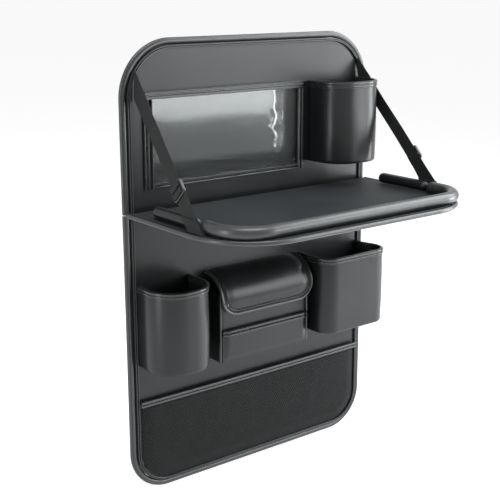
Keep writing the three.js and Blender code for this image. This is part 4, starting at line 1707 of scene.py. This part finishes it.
@dataclass
class TrayStrap:
    """One tray strap of webbing, in an upper and a lower length, with its adjuster."""

    side: float
    name: str
    width: float = 25 * MM
    thickness: float = 1.6 * MM
    lean: Point = (195.0 * MM, 206.5 * MM)
    patch: float = 21 * MM
    adjuster_from_foot: float = 62 * MM
    slide_out: float = 0.8 * MM
    fold: float = 7 * MM
    twist: float = 8.0
    bow: float = 0.0
    slide_half: Point = (13.4 * MM, 9.2 * MM)
    slide_corner: float = 3.0 * MM
    slide_rim: float = 1.8 * MM
    slide_bar: float = 1.5 * MM
    bar_place: float = 4.6 * MM
    bar_out: float = 1.3 * MM
    fold_out: float = 3.2 * MM

    def __post_init__(self) -> None:
        """Works out the strap's line from the frame."""
        upper_low, upper_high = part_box(f"{self.name}_strap_upper")
        lower_low, lower_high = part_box(f"{self.name}_strap_lower")
        self.head = Vector((0.0, upper_high.y, 0.0))
        self.foot_z = lower_low.z
        across_foot = self.width / 2
        run_y = lower_low.y
        self.split_z = (upper_low.z + lower_high.z) / 2
        drop = upper_high.z - self.foot_z
        reach = self.head.y - run_y
        angle = math.atan2(drop, reach)
        for _ in range(12):
            foot_cut = across_foot / math.sin(angle)
            head_cut = across_foot / math.cos(angle)
            angle = math.atan2(drop - head_cut, reach - foot_cut)
        self.head.z = upper_high.z - across_foot / math.cos(angle)
        self.along = Vector((0.0, -math.cos(angle), -math.sin(angle)))
        self.across = Vector((0.0, -math.sin(angle), math.cos(angle)))
        self.split = (self.head.z - self.split_z) / math.sin(angle)
        self.end = (self.head.z - self.foot_z) / math.sin(angle)

    def at(self, s: float, t: float, h: float) -> Vector:
        """Places a point of the strap.

        Args:
            s: Place across the strap.
            t: Distance along it.
            h: Distance out of its face.

        Returns:
            The point.
        """
        where = self.head + self.across * s + self.along * t
        share = (self.head.z - where.z) / (self.head.z - self.foot_z)
        bow = self.bow * math.sin(math.pi * min(max(share, 0.0), 1.0))
        x = self.lean[0] + (self.lean[1] - self.lean[0]) * share + bow
        turn = math.radians(self.twist) * smooth(min(share, 1 - share) * 4)
        where.x = self.side * (x + h) - s * math.sin(turn)
        return where

    def ribbon(
        self,
        begin: Callable[[float], float],
        end: Callable[[float], float],
        lift: float = 0.0,
        trim: float = 0.0,
    ) -> list[list[Vector]]:
        """Rings of a length of webbing.

        Args:
            begin: Where it begins, for a place across the strap.
            end: Where it ends, for a place across the strap.
            lift: How far it lies out from the strap's middle.
            trim: How much narrower than the strap it is.

        Returns:
            The rings.
        """
        half = self.width / 2 - trim
        columns = [half * share for share in crowded(12)]
        count = 44
        rows = []
        for i in range(count + 1):
            front, back = [], []
            for s in columns:
                t = begin(s) + (end(s) - begin(s)) * i / count
                body = self.thickness / 2 * (1 - 0.55 * (abs(s) / half) ** 8)
                sway = wobble(Vector((s * 0.4, t, self.side)), 0.06, 0.5 * MM)
                front.append(self.at(s, t, lift + sway + body))
                back.append(self.at(s, t, lift + sway - body))
            rows.append(front + back[::-1])
        return rows

    def build(self) -> None:
        """Makes both lengths of webbing, the sewn patches and the adjuster."""
        upper = Shell().add(self.ribbon(lambda s: -self.across.y * s / self.along.y, lambda s: self.split))
        made = upper.build(f"{self.name}_webbing_upper", WEBBING)
        flatten(settle(made, "panel", Slot.WEBBING, f"{self.name}_strap_upper"))

        def foot(s: float) -> float:
            """Where the webbing meets the tray."""
            return (self.foot_z - self.head.z - self.across.z * s) / self.along.z

        lower = Shell().add(self.ribbon(lambda s: self.split, foot))
        for lift in (-1.0, 1.0):
            shift = lift * (self.thickness + 0.2 * MM)
            lower.add(self.ribbon(lambda s: foot(s) - self.patch, foot, shift, 0.3 * MM))
        middle = self.end - self.adjuster_from_foot
        for centre in (middle - self.bar_place, middle + self.bar_place):
            lower.add(self.ribbon(
                lambda s, centre=centre: centre - self.fold / 2,
                lambda s, centre=centre: centre + self.fold / 2,
                self.slide_out + self.fold_out,
                0.6 * MM,
            ))
        made = lower.build(f"{self.name}_webbing_lower", WEBBING)
        self.flatten_on_tray(settle(made, "tray", Slot.WEBBING, f"{self.name}_strap_lower"))
        self.build_adjuster()

    def flatten_on_tray(self, piece: bpy.types.Object) -> None:
        """Gives a piece its own mesh."""
        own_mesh(piece)

    def build_adjuster(self) -> None:
        """Makes the slide adjuster: a rounded frame with two bars across it."""
        middle = self.end - self.adjuster_from_foot
        half_wide, half_long = self.slide_half
        corner = self.slide_corner
        loop = []
        for cx, cy, begin in ((1, 1, 0.0), (-1, 1, QUARTER), (-1, -1, 2 * QUARTER), (1, -1, 3 * QUARTER)):
            s0, t0 = cx * (half_wide - corner), cy * (half_long - corner)
            for angle in even(begin, begin + QUARTER, 6):
                loop.append((s0 + corner * math.cos(angle), t0 + corner * math.sin(angle)))
        rows = []
        for i, (s, t) in enumerate(loop):
            before, after = loop[i - 1], loop[(i + 1) % len(loop)]
            run = Vector((after[0] - before[0], after[1] - before[1])).normalized()
            ring = []
            for a, h in round_section(self.slide_rim, sides=12):
                ring.append(self.at(s + a * run.y, middle + t - a * run.x, self.slide_out + h * 1.25))
            rows.append(ring)
        shell = Shell().add(rows, closed=True)
        out = self.slide_out + self.bar_out
        for t in (middle - self.bar_place, middle + self.bar_place):
            ring = round_section(self.slide_bar, sides=12)
            places = even(-half_wide, half_wide, 12)
            shell.add([[self.at(s, t + a, out + h) for a, h in ring] for s in places])
        made = shell.build(f"{self.name}_slide", PLASTIC)
        self.flatten_on_tray(settle(made, "tray", Slot.PLASTIC, f"{self.name}_adjuster"))


@dataclass
class HeadrestStrap:
    """The strap behind the top edge."""

    thickness: float = 1.6 * MM
    sewn: float = 24 * MM

    def build(self) -> None:
        """Makes the strap, sewn down at both ends and bowed between them."""
        low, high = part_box("headrest_strap")
        bow = high.y - low.y - self.thickness
        free = high.x - self.sewn
        count = 80
        path = []
        for i in range(count + 1):
            s = low.x + (high.x - low.x) * i / count
            share = min(abs(s) / free, 1.0)
            path.append((s, low.y + self.thickness / 2 + bow * (math.cos(math.pi * share) + 1) / 2))
        half = self.thickness / 2
        steps = 12
        heights = even(low.z, high.z, steps)
        up = [(half * (1 - 0.5 * abs(2 * j / steps - 1) ** 8), z) for j, z in enumerate(heights)]
        section = up + [(-a, z) for a, z in reversed(up)]
        strap = Shell().add(sweep(path, -1.0, level, lambda run: section))
        settle(strap.build("headrest_webbing", WEBBING), "panel", Slot.WEBBING, "headrest_strap")


@dataclass
class HingeStrip:
    """The flexible strip that joins the tray to the panel."""

    steps: int = 10

    def build(self) -> None:
        """Makes the strip."""
        low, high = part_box("tray_hinge_strip")
        rows = []
        columns = 48
        for i in range(self.steps + 1):
            y = high.y + (low.y - high.y) * i / self.steps
            across = even(low.x, high.x, columns)
            ring = [level(s, y, high.z) for s in across]
            rows.append(ring + [level(s, y, low.z) for s in reversed(across)])
        strip = Shell().add(rows).build("hinge_leather", LEATHER)
        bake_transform(strip)
        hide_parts("tray_hinge_strip")
        LOG.info("%s: blends from the panel to the tray", strip.name)


def dress_hidden_nodes() -> None:
    """Gives the nodes that stay as they are their materials."""
    finishes = {
        "upper_board": BOARD,
        "lower_board": BOARD,
        "tray_board": BOARD,
        "headrest_strap_slider": PLASTIC,
    }
    for name, finish in finishes.items():
        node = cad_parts[name]
        node.data.materials.clear()
        node.data.materials.append(finish.material())
        LOG.info("%s: %s", name, finish.name)


# Studio

@dataclass
class Studio:
    """Camera, lamps, world and floor."""

    camera_place: tuple[float, float, float] = (-0.89146, -1.14552, 0.49517)
    camera_turns: tuple[float, float, float] = (75.464, 0.119, -37.888)
    lens: float = 74.506
    floor_drop: float = 12 * MM
    floor_reach: float = 60.0
    floor_glow: float = 0.6
    world_level: float = 0.4
    tint: Colour = (0.95, 0.985, 1.0)

    def build_camera(self) -> None:
        """Sets the camera at the photograph's viewing angle."""
        data = bpy.data.cameras.new("camera")
        data.lens = self.lens
        data.sensor_width = 36.0
        camera = bpy.data.objects.new("camera", data)
        camera.location = self.camera_place
        camera.rotation_euler = [math.radians(turn) for turn in self.camera_turns]
        bpy.context.scene.collection.objects.link(camera)
        bpy.context.scene.camera = camera

    def lamp(
        self,
        name: str,
        azimuth: float,
        elevation: float,
        distance: float,
        size: Point,
        power: float,
    ) -> None:
        """Adds a softbox that looks at the organizer's middle.

        Args:
            name: The lamp's name.
            azimuth: Degrees from the front toward the left.
            elevation: Degrees above the middle.
            distance: How far away it stands.
            size: Its width and height.
            power: Its power in watts.
        """
        data = bpy.data.lights.new(name, "AREA")
        data.shape = "RECTANGLE"
        data.size, data.size_y = size
        data.energy = power
        data.color = self.tint
        made = bpy.data.objects.new(name, data)
        turn, rise = math.radians(azimuth), math.radians(elevation)
        away = Vector((-math.sin(turn) * math.cos(rise), -math.cos(turn) * math.cos(rise), math.sin(rise)))
        made.location = Vector((0.0, -0.05, 0.12)) + away * distance
        made.rotation_euler = away.to_track_quat("Z", "Y").to_euler()
        bpy.context.scene.collection.objects.link(made)

    def shown(self, tree: bpy.types.NodeTree, rays: bpy.types.bpy_prop_collection) -> bpy.types.NodeSocket:
        """Masks the rays that see the background as white.

        Args:
            tree: The tree that the mask is for.
            rays: Outputs of its Light Path node.

        Returns:
            The mask of camera, glossy and transmission rays.
        """
        seen = compute(tree, "MAXIMUM", rays["Is Camera Ray"], rays["Is Glossy Ray"])
        return compute(tree, "MAXIMUM", seen, rays["Is Transmission Ray"])

    def build_floor(self) -> None:
        """Makes the pale floor, white to the camera and in reflections, with the shadow kept."""
        bottom = LOWER_ROLL_BOX[0].z - self.floor_drop
        reach = self.floor_reach
        mesh = bpy.data.meshes.new("floor")
        plan = ((-reach, -reach), (reach, -reach), (reach, reach), (-reach, reach))
        mesh.from_pydata([(x, y, bottom) for x, y in plan], [], [(0, 1, 2, 3)])
        floor = bpy.data.objects.new("floor", mesh)
        bpy.context.scene.collection.objects.link(floor)
        material, tree, shader = new_material("pale_floor")
        shader.inputs["Base Color"].default_value = (0.86, 0.86, 0.86, 1.0)
        shader.inputs["Roughness"].default_value = 0.9
        shader.inputs["Specular IOR Level"].default_value = 0.0
        shader.inputs["Emission Color"].default_value = (1.0, 1.0, 1.0, 1.0)
        rays = add_node(tree, "ShaderNodeLightPath").outputs
        glow = compute(tree, "MULTIPLY", self.shown(tree, rays), self.floor_glow)
        tree.links.new(glow, shader.inputs["Emission Strength"])
        mesh.materials.append(material)

    def build_world(self) -> None:
        """Sets the even soft light of the room."""
        world = bpy.data.worlds.new("room")
        bpy.context.scene.world = world
        world.use_nodes = True
        background = world.node_tree.nodes["Background"]
        background.inputs["Color"].default_value = (1.0, 1.0, 1.0, 1.0)
        rays = add_node(world.node_tree, "ShaderNodeLightPath").outputs
        shown = self.shown(world.node_tree, rays)
        strength = add_node(world.node_tree, "ShaderNodeMapRange", {
            "Value": shown,
            "To Min": self.world_level,
            "To Max": 1.0,
        })
        world.node_tree.links.new(strength.outputs["Result"], background.inputs["Strength"])

    def build(self) -> None:
        """Builds the whole studio."""
        self.build_camera()
        self.build_world()
        self.build_floor()
        self.lamp("overhead_box", 20.0, 66.0, 1.7, (1.3, 0.8), 24.0)
        self.lamp("left_strip", 88.0, 4.0, 1.5, (0.1, 1.2), 9.5)
        self.lamp("right_box", -32.0, 13.8, 1.4, (0.62, 0.66), 8.6)
        self.lamp("high_box", -66.0, 36.0, 1.5, (1.0, 0.9), 21.0)
        self.lamp("side_box", -62.0, 3.0, 1.4, (0.5, 0.6), 12.5)
        bpy.context.scene.view_settings.view_transform = "Standard"


def main() -> None:
    """Builds the studio and every sub-assembly."""
    logging.basicConfig(level=logging.INFO, format="%(name)s: %(message)s")
    Studio().build()
    panel_seams = SeamBook("panel_stitches", "panel")
    cup_seams = SeamBook("upper_cup_stitches", "panel")
    flap_seams = SeamBook("flap_stitches", "flap")
    tray_seams = SeamBook("tray_stitches", "tray")

    upper = UShape(HALF_WIDTH, ROLL_BOX[0].z, ROLL_BOX[1].z, 77 * MM)
    lower = UShape(HALF_WIDTH, LOWER_ROLL_BOX[1].z, LOWER_ROLL_BOX[0].z, 60 * MM)
    PanelHalf(Half.UPPER, upper, panel_seams).build()
    PanelHalf(Half.LOWER, lower, panel_seams).build()

    Pocket("left_cup", 40 * MM, left_flare=2 * MM, seams=panel_seams).build()
    Pocket("right_pocket", 24 * MM, right_flare=7 * MM, seams=panel_seams).build()
    Pocket("upper_cup", 38 * MM, seams=cup_seams, squash_keep=0.11).build()
    BoxPocket("box_pocket", 6 * MM, hem=False, bulge=0.3 * MM, seams=panel_seams).build()
    Flap(flap_seams).build()

    mesh_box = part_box("mesh_pocket")
    inset = HALF_WIDTH - mesh_box[1].x
    mesh_shape = UShape(mesh_box[1].x, mesh_box[1].z, mesh_box[0].z, 60 * MM - inset)
    MeshPocket(mesh_shape, panel_seams).build()
    WindowPocket(panel_seams).build()

    tray_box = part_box("tray_binding")
    pad_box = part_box("tray_top_pad")
    tray = UShape(HALF_WIDTH, pad_box[1].y, tray_box[0].y, 92 * MM)
    Tray(tray, tray_seams).build()
    TrayStrap(-1.0, "left", twist=6.0).build()
    TrayStrap(1.0, "right", twist=13.0, slide_out=2.6 * MM, bow=3.5 * MM).build()
    HingeStrip().build()
    HeadrestStrap().build()
    dress_hidden_nodes()

    for seams in (panel_seams, flap_seams, tray_seams):
        seams.sew()
    flatten(cup_seams.sew())


if __name__ == "__main__":
    main()
